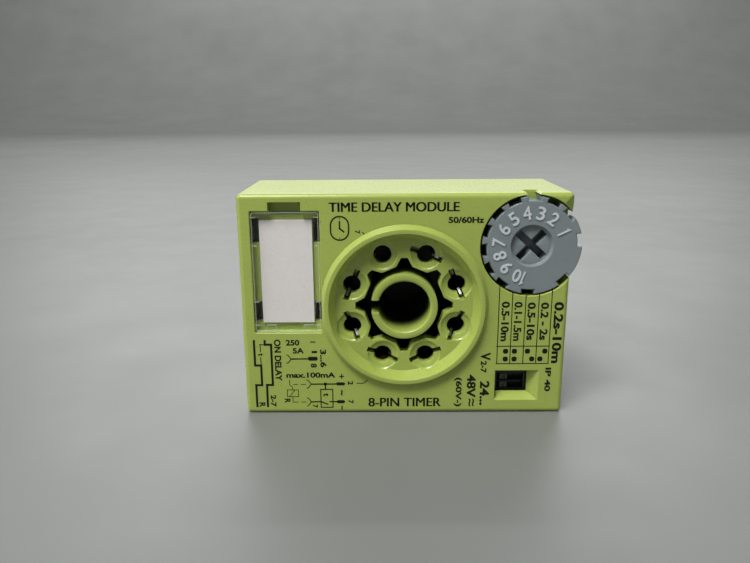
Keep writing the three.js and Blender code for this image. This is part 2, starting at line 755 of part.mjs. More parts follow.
function slider(z) {
  const x = POCKET_X0 + SLIDER_START;
  const y1 = SWITCH_BODY_FRONT + SWITCH_POCKET_D - SLIDER_FIT;
  return box(x, x + SLIDER_W, y1 - SLIDER_T, y1, z - SLIDER_H / 2, z + SLIDER_H / 2);
}

add('switch_body', switchBody(), BLACK);
SLIDER_Z.forEach((z, i) => add(`switch_slider_${i + 1}`, slider(z), SLIDER));

// ---------------------------------------------------------------- circuit board

function circuitBoard() {
  const x = INSIDE_X - SEAT;
  return cut(
    box(-x, x, BOARD_FRONT, BOARD_BACK, INSIDE_LOW + SEAT, INSIDE_HIGH - SEAT),
    disc(0, MID_Z, BOARD_HOLE_R, BOARD_FRONT - PAST, BOARD_BACK + PAST, 40),
  );
}

add('circuit_board', circuitBoard(), BOARD);

// What stands on the back of the board: each piece starts SEAT off it.
const ON_BACK = BOARD_BACK + SEAT;
// The left and right bays beside the board's round hole, between it and the hooks.
const BAY_X = (BOARD_HOLE_R + INSIDE_X - BASE_FIT - HOOK_T) / 2;

const CAN_R = 2.9;
const CAN_L = 11;
const FILM = { width: 4, height: 6, length: 9.5 };
const BRIDGE = { width: 6.5, height: 5, length: 6.5 };
const THYRISTOR = { width: 5, height: 4.5, length: 4.6 };
const IC = { width: 6.3, height: 3.3, length: 18.9 };
const TRANSISTOR = { radius: 2.4, height: 4.6, flat: 1.2 };
const RESISTOR_R = 1.1;
const RESISTOR_L = 5.2;
const RESISTOR_LIFT = 0.5;
const RESISTOR_REACH = 3.5;  // from the barrel's middle to the end of its lead
const RESISTOR_PITCH = 8.4;
const STRIP_EDGE = 1;        // between a resistor and the board's edge
const WIRE = 0.5;
const DISC_R = 3.2;
const DISC_T = 3;

// A round can lying along Z, with a foot that holds it off the board.
function lyingCan(x, z0, z1, radius) {
  const can = new THREE.CylinderGeometry(radius, radius, z1 - z0, 20);
  can.rotateX(Math.PI / 2).translate(x, ON_BACK + radius, (z0 + z1) / 2);
  return solid(can);
}

// A small barrel lying along X on two wire legs.
function resistor(x, z) {
  const y = ON_BACK + RESISTOR_LIFT + RESISTOR_R;
  const barrel = new THREE.CylinderGeometry(RESISTOR_R, RESISTOR_R, RESISTOR_L, 12);
  barrel.rotateZ(Math.PI / 2).translate(x, y, z);
  const half = WIRE / 2;
  const lead = box(
    x - RESISTOR_REACH, x + RESISTOR_REACH, y - half, y + half, z - half, z + half,
  );
  const legs = [x - RESISTOR_REACH, x + RESISTOR_REACH - WIRE].map((x0) => box(
    x0, x0 + WIRE, ON_BACK, y, z - half, z + half,
  ));
  return join(solid(barrel), lead, ...legs);
}

const standing = (x, z, width, height, length) => box(
  x - width / 2, x + width / 2, ON_BACK, ON_BACK + height, z - length / 2, z + length / 2,
);

add('electrolytic_capacitor', lyingCan(-BAY_X, MID_Z - CAN_L / 2, MID_Z + CAN_L / 2, CAN_R), BLUE);
add('film_capacitor', standing(BAY_X, MID_Z, FILM.width, FILM.height, FILM.length), RED);
add('bridge_rectifier', standing(
  -BAY_X, INSIDE_LOW + POST + BRIDGE.length / 2, BRIDGE.width, BRIDGE.height, BRIDGE.length,
), BLACK);
add('thyristor', standing(
  BAY_X, INSIDE_LOW + POST + THYRISTOR.length / 2, THYRISTOR.width, THYRISTOR.height,
  THYRISTOR.length,
), BLACK);

// The varistor is a disc standing on its edge, squared off where its leads leave it.
function varistor() {
  const z = INSIDE_HIGH - POST - DISC_R;
  const y = ON_BACK + DISC_R;
  const can = new THREE.CylinderGeometry(DISC_R, DISC_R, DISC_T, 20);
  can.rotateZ(Math.PI / 2).translate(-BAY_X, y, z);
  return join(solid(can), box(
    -BAY_X - DISC_T / 2, -BAY_X + DISC_T / 2, ON_BACK, y, z - DISC_R / 2, z + DISC_R / 2,
  ));
}
add('varistor', varistor(), TAN);

// A small transistor with one rounded side.
function transistor() {
  const { radius, height, flat } = TRANSISTOR;
  const z = INSIDE_HIGH - POST - DISC_R;
  return cut(
    disc(BAY_X, z, radius, ON_BACK, ON_BACK + height, 20),
    box(BAY_X + flat, BAY_X + radius + PAST, ON_BACK - PAST, ON_BACK + height + PAST,
      z - radius - PAST, z + radius + PAST),
  );
}
add('transistor', transistor(), BLACK);

// Resistors in the strips above and below the board's hole, up to the right bay.
const STRIP_X = BAY_X - THYRISTOR.width / 2 - SEAT - RESISTOR_REACH;
const STRIP_Z = [INSIDE_HIGH - STRIP_EDGE - RESISTOR_R, INSIDE_LOW + STRIP_EDGE + RESISTOR_R];
const RESISTORS = STRIP_Z.flatMap((z) => [[STRIP_X - RESISTOR_PITCH, z], [STRIP_X, z]]);
RESISTORS.forEach(([x, z], i) => add(`resistor_${i + 1}`, resistor(x, z), TAN));

// The timer circuit stands on the front of the board, behind the label window.
add('timer_ic', box(
  -BAY_X - IC.width / 2, -BAY_X + IC.width / 2, BOARD_FRONT - SEAT - IC.height,
  BOARD_FRONT - SEAT, MID_Z - IC.length / 2, MID_Z + IC.length / 2,
), BLACK);

// ---------------------------------------------------------------- origin at the bottom centre

const extent = new THREE.Box3().setFromObject(part);
const centre = extent.getCenter(new THREE.Vector3());
part.position.set(-centre.x, -centre.y, -extent.min.z);

export default part;
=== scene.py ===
"""Looks for the plug-in time-delay module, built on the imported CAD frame.

Shapes are made in millimetres in the module's own axes: x = 0 at the middle of the front face, y = 0 at
that face and running to the back, z = 0 at the bottom. PLACE turns them into metres in the shared frame.
"""
import math

import bmesh
import bpy
from mathutils import Matrix, Vector


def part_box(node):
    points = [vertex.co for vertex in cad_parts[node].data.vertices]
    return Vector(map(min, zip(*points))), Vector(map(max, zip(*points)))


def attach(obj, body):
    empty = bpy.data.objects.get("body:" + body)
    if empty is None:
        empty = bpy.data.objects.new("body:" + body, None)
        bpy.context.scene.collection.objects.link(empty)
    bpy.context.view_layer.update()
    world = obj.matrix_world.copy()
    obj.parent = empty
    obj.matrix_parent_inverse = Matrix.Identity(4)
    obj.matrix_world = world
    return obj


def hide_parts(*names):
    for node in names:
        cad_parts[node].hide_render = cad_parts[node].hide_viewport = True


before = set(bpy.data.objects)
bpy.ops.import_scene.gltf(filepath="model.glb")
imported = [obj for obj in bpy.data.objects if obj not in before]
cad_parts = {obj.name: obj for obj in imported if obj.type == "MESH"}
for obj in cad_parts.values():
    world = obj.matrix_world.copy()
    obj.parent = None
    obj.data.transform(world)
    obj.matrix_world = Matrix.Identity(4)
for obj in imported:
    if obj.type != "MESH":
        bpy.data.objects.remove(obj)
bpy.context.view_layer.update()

# ---------------------------------------------------------------- sizes, in millimetres

CASE_W, CASE_H, CASE_D, WALL = 50.0, 35.0, 19.5, 1.6
MID_Z = CASE_H / 2
EDGE = 0.75                      # rounding of the case's outer edges
LIP = 0.14                       # rounding of recess rims
PAST = 1.0                       # how far a cutter runs past the surface that it cuts
INTO = 0.8                       # how deep an added part reaches into the wall that carries it
COLLAR_PROUD = 0.9               # how far the collar stands in front of the face
FLOOR = 1.0                      # depth of the receptacle's floor behind the face
BASE_FRONT = 17.5                # the base plate's front face
BASE_FIT = 0.25                  # gap between the base plate and the walls
BASE_JOIN = 18.4                 # how deep the base plate's own parts start
HOUSING_POST, BASE_POST = 2.4, 1.9           # widths of the corner posts
PIN_CIRCLE, PIN_R, PIN_LONG = 8.725, 1.18, 11.1
HOLE_R, SOCKET_DEPTH = 1.37, 4.0             # the pin holes, and how deep they and their slots are cut
PLAIN_HOLE = 7                   # the one hole without a slot
TUBE_BORE, TUBE_R = 4.0, 5.15    # the guide tube
SPIGOT_R, SPIGOT_LONG = 3.95, 13.5
DIAL_X, DIAL_Z, DIAL_R = 19.05, 27.0, 7.495
DIAL_STEP, DIAL_FIRST = 24.0, 29.4           # degrees between numerals, and where the first one stands
DIAL_GRIPS = (267.4, 313.5, 7.0)             # the notches that stand apart from the numerals, in degrees
CROSS_ANGLES = (47, 137)                     # the two bars of the dial's cross slot
NUMERAL_R, NUMERAL_HIGH = 5.0, 2.0
POCKET_R, POCKET_D = 7.75, 3.55
WIN = (-23.05, -12.7, 13.5, 32.4)            # label recess: x0, x1, z0, z1
COVER_FIT = 0.15                             # gap round the clear cover
SWITCH = (14.3, 21.0, 2.25, 7.1)             # switch window: x0, x1, z0, z1
SWITCH_SLOPE = (1.45, 0.85)                  # how far its right and lower sides slope in
PRINT_DEPTHS = (-0.02, 0.01)                 # printed lines run from just before the face to just behind it
ROUND = 96                                   # segments of a full circle

_low, _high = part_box("housing")
ORIGIN = Vector(((_low.x + _high.x) / 2, _low.y + COLLAR_PROUD / 1000, _low.z))
PLACE = Matrix.Translation(ORIGIN) @ Matrix.Scale(0.001, 4)

scene = bpy.context.scene


def pin_angle(number):
    return -180 + (number - 0.5) * 45


# ---------------------------------------------------------------- mesh kit


def temporary(bm):
    """Ends a bmesh as a plain object, which a later step cuts, joins or finishes."""
    bmesh.ops.recalc_face_normals(bm, faces=bm.faces)
    mesh = bpy.data.meshes.new("tool")
    bm.to_mesh(mesh)
    bm.free()
    ob = bpy.data.objects.new("tool", mesh)
    scene.collection.objects.link(ob)
    return ob


def widened(outline, d):
    """A counter-clockwise outline of (x, z) points moved outwards by d, with mitred corners."""
    moved = []
    for i, (x, z) in enumerate(outline):
        px, pz = outline[i - 1]
        nx, nz = outline[(i + 1) % len(outline)]
        a, b = math.hypot(x - px, z - pz), math.hypot(nx - x, nz - z)
        ux, uz = (z - pz) / a + (nz - z) / b, -(x - px) / a - (nx - x) / b
        k = 2 * d / (ux * ux + uz * uz)
        moved.append((x + ux * k, z + uz * k))
    return moved


def circle(radius, x, z):
    turns = [2 * math.pi * i / ROUND for i in range(ROUND)]
    return [(x + radius * math.cos(t), z + radius * math.sin(t)) for t in turns]


def skinned(rings, closed=False):
    """A solid whose skin runs from ring to ring of (x, y, z) points, and back to the first if closed."""
    bm = bmesh.new()
    rings = [[bm.verts.new(point) for point in ring] for ring in rings]
    for a, b in zip(rings, rings[1:] + rings[:1] if closed else rings[1:]):
        for i in range(len(a)):
            bm.faces.new((a[i - 1], a[i], b[i], b[i - 1]))
    if not closed:
        bm.faces.new(rings[0])
        bm.faces.new(rings[-1])
    return temporary(bm)


def loft(outline, levels):
    """A closed solid with the outline's shape: levels are (y, how far the outline is moved out)."""
    return skinned([[(x, y, z) for x, z in (widened(outline, d) if d else outline)] for y, d in levels])


def lathe(profile, x=0.0, z=0.0, count=ROUND):
    """A closed solid of revolution about a line along Y: profile is (r, y) from the axis to the axis."""
    bm = bmesh.new()
    rings = []
    for r, y in profile:
        if r == 0:
            rings.append([bm.verts.new((x, y, z))])
        else:
            turns = [2 * math.pi * i / count for i in range(count)]
            rings.append([bm.verts.new((x + r * math.cos(t), y, z + r * math.sin(t))) for t in turns])
    for a, b in zip(rings, rings[1:]):
        for i in range(count):
            quad = [a[i % len(a)], a[(i + 1) % len(a)], b[(i + 1) % len(b)], b[i % len(b)]]
            bm.faces.new(list(dict.fromkeys(quad)))
    return temporary(bm)


def block(x0, x1, y0, y1, z0, z1, radius=0.0, steps=3):
    """A box, with its edges rounded if a radius is given."""
    bm = bmesh.new()
    bmesh.ops.create_cube(bm, size=1.0)
    size = Matrix.Diagonal((x1 - x0, y1 - y0, z1 - z0, 1.0))
    middle = Matrix.Translation(((x0 + x1) / 2, (y0 + y1) / 2, (z0 + z1) / 2))
    bmesh.ops.transform(bm, matrix=middle @ size, verts=bm.verts)
    if radius:
        bmesh.ops.bevel(bm, geom=bm.edges[:], offset=radius, segments=steps, profile=0.5, affect="EDGES")
    return temporary(bm)


def hull(points):
    """The smallest convex solid round the points."""
    bm = bmesh.new()
    verts = [bm.verts.new(p) for p in points]
    bmesh.ops.convex_hull(bm, input=verts)
    return temporary(bm)


def turn(ob, degrees, x=0.0, z=MID_Z):
    """Turns a solid about a line along Y, counter-clockwise as seen from the front."""
    there = Matrix.Translation((x, 0, z))
    ob.data.transform(there @ Matrix.Rotation(-math.radians(degrees), 4, "Y") @ there.inverted())
    return ob


def combine(target, tools, operation="DIFFERENCE"):
    """Cuts the tools out of the target, or adds them to it with UNION, and uses them up."""
    for tool in tools:
        step = target.modifiers.new("step", "BOOLEAN")
        step.operation, step.object, step.solver = operation, tool, "MANIFOLD"
        graph = bpy.context.evaluated_depsgraph_get()
        made = bpy.data.meshes.new_from_object(target.evaluated_get(graph))
        old = target.data
        target.modifiers.clear()
        target.data = made
        bpy.data.meshes.remove(old)
        bpy.data.objects.remove(tool)
    return target


def join(parts):
    """Several solids as one mesh, without cutting them."""
    bm = bmesh.new()
    for ob in parts:
        bm.from_mesh(ob.data)
        bpy.data.objects.remove(ob)
    return temporary(bm)


def piece(ob, name, body, material, replaces=(), smooth=32):
    """Places a finished shape in the frame and makes it ride on its body."""
    ob.name = name
    mesh = ob.data
    mesh.name = name
    mesh.transform(PLACE)
    mesh.materials.clear()
    mesh.materials.append(material)
    mesh.shade_smooth()
    mesh.set_sharp_from_angle(angle=math.radians(smooth))
    weighted = ob.modifiers.new("normals", "WEIGHTED_NORMAL")
    weighted.keep_sharp = True
    weighted.weight = 90
    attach(ob, body)
    if replaces:
        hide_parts(*replaces)
    return ob


def rectangle(x0, x1, z0, z1, radius=0.0, steps=4):
    """A counter-clockwise outline, with rounded corners."""
    if not radius:
        return [(x0, z0), (x1, z0), (x1, z1), (x0, z1)]
    points = []
    corners = ((x1, z0, -90), (x1, z1, 0), (x0, z1, 90), (x0, z0, 180))
    for x, z, start in corners:
        cx = x - radius if x == x1 else x + radius
        cz = z - radius if z == z1 else z + radius
        for i in range(steps + 1):
            t = math.radians(start + 90 * i / steps)
            points.append((cx + radius * math.cos(t), cz + radius * math.sin(t)))
    return points


def rim(depth, lip=LIP, fillet=0.0, steps=4, front=0.0):
    """Levels of a recess cutter: a rounded rim at the front and a filleted corner at the bottom."""
    levels = [(front - PAST, lip)]
    for i in range(steps + 1):
        t = math.pi / 2 * i / steps
        levels.append((front + lip - lip * math.cos(t), lip - lip * math.sin(t)))
    if not fillet:
        return levels + [(depth, 0.0)]
    for i in range(steps + 1):
        t = math.pi / 2 * i / steps
        levels.append((depth - fillet + fillet * math.sin(t), -fillet + fillet * math.cos(t)))
    return levels


def arc(r0, y0, r1, y1, steps=5, hollow=False):
    """Profile points of a quarter round from (r0, y0) to (r1, y1), both ends included."""
    points = []
    for i in range(steps + 1):
        t = math.pi / 2 * i / steps
        if hollow:
            points.append((r0 + (r1 - r0) * math.sin(t), y0 + (y1 - y0) * (1 - math.cos(t))))
        else:
            points.append((r0 + (r1 - r0) * (1 - math.cos(t)), y0 + (y1 - y0) * math.sin(t)))
    return points


def ribbon(points, width, depths=PRINT_DEPTHS):
    """A flat line through (x, z) points, with mitred corners and square ends."""
    sides = ([], [])
    for i, (x, z) in enumerate(points):
        ux = uz = 0.0
        for (ax, az), (bx, bz) in (points[max(i - 1, 0):][:2], points[min(i, len(points) - 2):][:2]):
            d = math.hypot(bx - ax, bz - az)
            ux, uz = ux - (bz - az) / d, uz + (bx - ax) / d
        k = width / (ux * ux + uz * uz)
        sides[0].append((x + ux * k, z + uz * k))
        sides[1].append((x - ux * k, z - uz * k))
    bm = bmesh.new()
    corners = [[[bm.verts.new((x, y, z)) for x, z in side] for side in sides] for y in depths]
    (a, b), (c, d) = corners
    for i in range(len(points) - 1):
        for p, q in ((a, b), (b, d), (d, c), (c, a)):
            bm.faces.new((p[i], p[i + 1], q[i + 1], q[i]))
    for i in (0, -1):
        bm.faces.new((a[i], b[i], d[i], c[i]))
    return temporary(bm)


def patch(x0, x1, z0, z1, radius):
    """A printed spot with rounded corners."""
    return loft(rectangle(x0, x1, z0, z1, radius, 5), [(y, 0) for y in PRINT_DEPTHS])


def loop(x0, x1, z0, z1, width, radius=0.0, steps=5, depths=PRINT_DEPTHS):
    """A flat frame: a closed line round a rectangle, or an oval when radius is half its width."""
    outer = rectangle(x0, x1, z0, z1, radius, steps)
    inner = widened(outer, -width)
    y0, y1 = depths
    sides = ((y0, outer), (y0, inner), (y1, inner), (y1, outer))
    return skinned([[(x, y, z) for x, z in ring] for y, ring in sides], closed=True)


def marking(text, x, z, length, height, clockwise=0.0, y=-0.02, thick=0.03, bold=0.034):
    """Lettering as a thin solid whose outline fills length by height, its middle at (x, z)."""
    curve = bpy.data.curves.new("marking", "FONT")
    curve.body, curve.offset, curve.extrude, curve.resolution_u = text, bold, 0.5, 5
    ob = bpy.data.objects.new("marking", curve)
    scene.collection.objects.link(ob)
    graph = bpy.context.evaluated_depsgraph_get()
    mesh = bpy.data.meshes.new_from_object(ob.evaluated_get(graph))
    bpy.data.objects.remove(ob)
    bpy.data.curves.remove(curve)
    lo = [min(v.co[k] for v in mesh.vertices) for k in range(3)]
    hi = [max(v.co[k] for v in mesh.vertices) for k in range(3)]
    size = [length / (hi[0] - lo[0]), height / (hi[1] - lo[1]), thick / (hi[2] - lo[2])]
    middle = Matrix.Translation([-(a + b) / 2 for a, b in zip(lo, hi)])
    stand = Matrix(((1, 0, 0, 0), (0, 0, -1, 0), (0, 1, 0, 0), (0, 0, 0, 1)))
    spin = Matrix.Rotation(-math.radians(clockwise), 4, "Z")
    there = Matrix.Translation((x, y + thick / 2, z))
    mesh.transform(there @ stand @ spin @ Matrix.Diagonal((*size, 1)) @ middle)
    ob = bpy.data.objects.new("marking", mesh)
    scene.collection.objects.link(ob)
    return ob


# ---------------------------------------------------------------- materials


class Nodes:
    """Short names for building a material's nodes."""

    def __init__(self, name):
        self.material = bpy.data.materials.new(name)
        self.material.use_nodes = True
        self.tree = self.material.node_tree
        self.shader = self.tree.nodes["Principled BSDF"]
        self.place = self.add("ShaderNodeTexCoord").outputs["Object"]

    def add(self, kind, links=()):
        node = self.tree.nodes.new(kind)
        for socket, source in links:
            self.tree.links.new(source, node.inputs[socket])
        return node

    def noise(self, scale, detail=3.0, roughness=0.6):
        """Noise whose features are about 1/scale millimetres across."""
        node = self.add("ShaderNodeTexNoise", [("Vector", self.place)])
        node.inputs["Scale"].default_value = scale * 1000
        node.inputs["Detail"].default_value = detail
        node.inputs["Roughness"].default_value = roughness
        return node.outputs["Fac"]

    def cells(self, scale):
        node = self.add("ShaderNodeTexVoronoi", [("Vector", self.place)])
        node.inputs["Scale"].default_value = scale * 1000
        return node

    def remap(self, value, low, high, to_low, to_high):
        node = self.add("ShaderNodeMapRange", [("Value", value)])
        for key, number in (("From Min", low), ("From Max", high), ("To Min", to_low), ("To Max", to_high)):
            node.inputs[key].default_value = number
        return node.outputs["Result"]

    def mix(self, factor, a, b):
        """A colour between a and b; sockets 0, 6 and 7 are the factor and the two colours."""
        node = self.add("ShaderNodeMix")
        node.data_type = "RGBA"
        for socket, value in ((0, factor), (6, a), (7, b)):
            if hasattr(value, "is_output"):
                self.tree.links.new(value, node.inputs[socket])
            else:
                node.inputs[socket].default_value = value if socket == 0 else (*value, 1.0)
        return node.outputs[2]

    def math(self, operation, a, b):
        node = self.add("ShaderNodeMath")
        node.operation = operation
        for socket, value in ((0, a), (1, b)):
            if hasattr(value, "is_output"):
                self.tree.links.new(value, node.inputs[socket])
            else:
                node.inputs[socket].default_value = value
        return node.outputs[0]

    def set(self, **values):
        for key, value in values.items():
            socket = self.shader.inputs[key.replace("_", " ")]
            if hasattr(value, "is_output"):
                self.tree.links.new(value, socket)
            else:
                socket.default_value = value
        return self

    def bump(self, height, depth):
        """Bumps as deep as depth, in millimetres."""
        node = self.add("ShaderNodeBump", [("Height", height)])
        node.inputs["Strength"].default_value = 1.0
        node.inputs["Distance"].default_value = depth / 1000
        self.tree.links.new(node.outputs["Normal"], self.shader.inputs["Normal"])
        return self


def shade(colour, factor):
    return tuple(c * factor for c in colour)


def darkening(n, start, end, dark):
    """Painted shade inside the case: a factor that falls from 1 to dark between two depths, and is 1 again
    behind the base plate.
    """
    split = n.add("ShaderNodeSeparateXYZ", [("Vector", n.place)])
    y = n.math("MULTIPLY", n.math("SUBTRACT", split.outputs["Y"], ORIGIN.y), 1000.0)
    deep = n.remap(y, start, end, 0.0, 1.0)
    cased = n.remap(y, BASE_FRONT + 0.4, BASE_FRONT + 0.7, 1.0, 0.0)
    return n.math("SUBTRACT", 1.0, n.math("MULTIPLY", n.math("MULTIPLY", deep, cased), 1.0 - dark))


def moulded(name, colour, roughness=0.42, grain=9.0, depth=0.004, mottle=0.07, specks=0.0, crevice=0.0,
            shadow=None):
    """Injection-moulded plastic with slow tone changes and a fine eroded grain.

    specks adds dust; crevice and shadow (start, end, how much is left) paint shade into corners and depths.
    """
    n = Nodes(name)
    slow = n.noise(0.12, 4.0)
    fine = n.noise(1.6, 5.0)
    tone = n.mix(n.remap(slow, 0.3, 0.7, 0.0, 1.0), shade(colour, 1 - mottle), shade(colour, 1 + mottle))
    tone = n.mix(n.remap(fine, 0.35, 0.75, 0.0, 0.5), tone, shade(colour, 1 - 1.3 * mottle))
    if specks:
        dots = n.cells(0.55)
        near = n.remap(dots.outputs["Distance"], 0.03, 0.085, 1.0, 0.0)
        some = n.remap(n.noise(0.25, 2.0), 0.53, 0.6, 0.0, 1.0)
        tone = n.mix(n.math("MULTIPLY", n.math("MULTIPLY", near, some), specks), tone, shade(colour, 0.18))
    # painted shade: the colour darkens where the ambient-occlusion node finds corners and creases
    if crevice:
        hollow = n.add("ShaderNodeAmbientOcclusion")
        hollow.samples, hollow.only_local = 6, True
        hollow.inputs["Distance"].default_value = 0.0007
        painted_corner_shade = n.remap(hollow.outputs["AO"], 0.35, 0.95, 1.0, 0.0)
        tone = n.mix(n.math("MULTIPLY", painted_corner_shade, crevice), tone, shade(colour, 0.35))
    if shadow:
        tone = n.mix(darkening(n, *shadow), shade(colour, 0.0), tone)
    grained = n.math("ADD", n.noise(grain, 4.0), n.math("MULTIPLY", n.noise(0.9, 3.0), 0.6))
    n.set(
        Base_Color=tone,
        Roughness=n.remap(n.noise(2.6, 4.0), 0.3, 0.7, roughness - 0.05, roughness + 0.07),
    )
    return n.bump(grained, depth).material


def metal(name, colour, roughness=0.28, streaks=0.15, inside_shade=None):
    """Bare metal with tarnish streaks; the last argument paints shade onto what lies inside the case, darker
    with depth.
    """
    n = Nodes(name)
    tarnish = n.remap(n.noise(0.8, 5.0), 0.4, 0.7, 0.0, 1.0)
    tone = n.mix(tarnish, colour, shade(colour, 1 - streaks))
    # painted shade: the metal darkens with depth inside the case
    if inside_shade:
        tone = n.mix(darkening(n, *inside_shade), shade(colour, 0.0), tone)
    n.set(
        Base_Color=tone,
        Metallic=1.0,
        Roughness=n.remap(n.noise(4.0, 4.0), 0.3, 0.7, roughness - 0.06, roughness + 0.12),
    )
    return n.bump(n.noise(12.0, 3.0), 0.002).material


GREEN = (0.372, 0.462, 0.094)
GREY = (0.218, 0.254, 0.262)

# crevice paints shade into corners; the base's shadow paints shade deeper inside the case
green = moulded("case_green", GREEN, roughness=0.30, grain=7.0, depth=0.0025, mottle=0.04,
                specks=0.8, crevice=0.38)
green_base = moulded("base_green", shade(GREEN, 0.97), roughness=0.34, grain=7.0, depth=0.0025, mottle=0.04,
                     crevice=0.5, shadow=(1.2, 6.0, 0.03))
dial_grey = moulded("dial_grey", GREY, roughness=0.32, grain=6.0, depth=0.003, mottle=0.07, crevice=0.6)
numeral_grey = moulded("numeral_grey", (0.62, 0.65, 0.66), roughness=0.45, grain=8.0, depth=0.002,
                       mottle=0.06)
switch_black = moulded("switch_black", (0.012, 0.012, 0.013), roughness=0.35, depth=0.003, mottle=0.2)
slider_grey = moulded("slider_grey", (0.09, 0.095, 0.08), roughness=0.42, depth=0.003, mottle=0.1)
# the last tuples paint shade onto the pin heads and the forks inside the case
brass = metal("pin_brass", (0.76, 0.60, 0.33), 0.25, 0.14, inside_shade=(4.0, 10.0, 0.02))
tin = metal("tinned", (0.36, 0.35, 0.33), 0.36, 0.6, inside_shade=(2.6, 5.5, 0.04))


def ink_material():
    n = Nodes("print_black")
    worn = n.remap(n.noise(5.0, 4.0), 0.64, 0.82, 0.0, 1.0)
    n.set(
        Specular_IOR_Level=0.25,
        Base_Color=n.mix(worn, (0.006, 0.007, 0.005), (0.04, 0.05, 0.015)),
        Roughness=n.remap(n.noise(8.0, 3.0), 0.3, 0.7, 0.45, 0.65),
    )
    return n.bump(n.noise(14.0, 3.0), 0.002).material


def paper_material():
    n = Nodes("label_paper")
    fibres = n.noise(2.2, 6.0, 0.7)
    tone = n.mix(n.remap(fibres, 0.3, 0.7, 0.0, 1.0), (0.78, 0.735, 0.715), (0.81, 0.765, 0.745))
    dots = n.cells(0.16)
    spot = n.remap(dots.outputs["Distance"], 0.010, 0.022, 1.0, 0.0)
    tone = n.mix(n.math("MULTIPLY", spot, 0.7), tone, (0.16, 0.14, 0.12))
    n.set(Base_Color=tone, Roughness=n.remap(fibres, 0.3, 0.7, 0.8, 0.92))
    return n.bump(n.noise(5.0, 5.0, 0.7), 0.006).material


def clear_material(name, solid, worn=0.12, colour=(0.55, 0.58, 0.50)):
    """Thin clear plastic, scuffed: mostly see-through, so that the card behind it stays lit. In the paler,
    more solid material for the cover's rim, the nicks are painted glints.
    """
    n = Nodes(name)
    scratch = n.add("ShaderNodeTexWave", [("Vector", n.place)])
    scratch.wave_type, scratch.bands_direction = "BANDS", "DIAGONAL"
    scratch.inputs["Scale"].default_value = 260.0
    scratch.inputs["Distortion"].default_value = 14.0
    scratch.inputs["Detail"].default_value = 4.0
    scratch.inputs["Detail Scale"].default_value = 2.0
    lines = n.remap(scratch.outputs["Fac"], 0.985, 1.0, 0.0, 1.0)
    haze = n.remap(n.noise(0.5, 5.0), 0.45, 0.8, 0.0, 0.02)
    nicks_and_glints = n.remap(n.noise(2.6, 3.0), 0.68, 0.74, 0.0, 1.0)
    cloudy = n.math("ADD", n.math("MULTIPLY", lines, 0.05), n.math("MULTIPLY", nicks_and_glints, worn))
    n.set(
        Base_Color=n.mix(n.math("ADD", lines, nicks_and_glints), colour, (0.95, 0.96, 0.93)),
        Roughness=n.remap(n.noise(1.5, 4.0), 0.3, 0.7, 0.08, 0.2),
        Alpha=n.math("ADD", n.math("ADD", solid, haze), cloudy),
    )
    return n.bump(n.math("ADD", n.noise(1.2, 4.0), n.math("MULTIPLY", lines, 0.5)), 0.006).material


ink = ink_material()
paper = paper_material()
clear = clear_material("clear_cover", 0.015)
# painted highlight: a paler, more solid plastic whose lines and patches stand for light caught on the cover's
# edges
clear_edge_highlight = clear_material("clear_rim_highlight", 0.17, 0.5, (0.80, 0.84, 0.72))

# ---------------------------------------------------------------- case


def collar():
    base, top, high = 12.82, 12.3, -COLLAR_PROUD
    profile = [(0, high), (top - 0.12, high)]
    profile += arc(top - 0.12, high, top + 0.02, high + 0.12, hollow=True)[1:]
    profile += [(base, -0.08), (base + 0.08, 0.02), (base + 0.08, 0.6), (0, 0.6)]
    return lathe(profile, z=MID_Z)


def receptacle():
    """The round recess inside the collar, which narrows to its floor."""
    high, mouth, foot = -COLLAR_PROUD, 11.55, 10.58
    profile = [(0, high - PAST), (mouth + 0.11, high - PAST), (mouth + 0.11, high)]
    profile += arc(mouth + 0.11, high, mouth, high + 0.12, hollow=True)[1:]
    profile += [(foot + 0.14, FLOOR - 0.16)]
    profile += arc(foot + 0.14, FLOOR - 0.16, foot, FLOOR, steps=3)[1:]
    profile += [(0, FLOOR)]
    return lathe(profile, z=MID_Z)


def star_outline():
    """The opening round the guide tube: eight blunt points between the pin holes."""
    valley, point = 6.25, 7.55
    outline = []
    for k in range(8):
        for r, offset in ((valley, -11.5), (point, -3.8), (point, 3.8), (valley, 11.5)):
            t = math.radians(k * 45 + offset)
            outline.append((r * math.cos(t), MID_Z + r * math.sin(t)))
    return outline


def pin_hole(number):
    """The dished mouth and the hole; a slot for the contact's prongs, except at the plain hole."""
    x = PIN_CIRCLE
    profile = [(0, FLOOR - PAST), (2.38, FLOOR - PAST), (2.38, FLOOR), (2.34, FLOOR + 0.04)]
    profile += [(2.2, FLOOR + 0.22), (2.08, FLOOR + 0.27), (1.5, FLOOR + 0.36)]
    profile += [(HOLE_R + 0.04, FLOOR + 0.43), (HOLE_R, FLOOR + 0.55)]
    profile += [(HOLE_R, SOCKET_DEPTH), (0, SOCKET_DEPTH)]
    tools = [lathe(profile, x=x, z=MID_Z, count=48)]
    if number != PLAIN_HOLE:
        slot = rectangle(x - 0.425, x + 0.425, MID_Z - 2.6, MID_Z + 2.6, 0.08, 2)
        tools.append(loft(slot, rim(SOCKET_DEPTH, lip=0.06, front=FLOOR, steps=2)))
    return [turn(tool, pin_angle(number)) for tool in tools]


def leg_slots():
    """The four slots that take the clear cover's legs: x0, x1, z0, z1."""
    x0, x1, z0, z1 = WIN
    for low, high in ((z1 - 4.95, z1 - 1.15), (z0 + 1.5, z0 + 4.7)):
        yield x0, x0 + 0.95, low, high
        yield x1 - 0.95, x1, low, high


HOOK_PLACES = [(side, MID_Z + row * 9) for side in (-1, 1) for row in (-1, 1)]


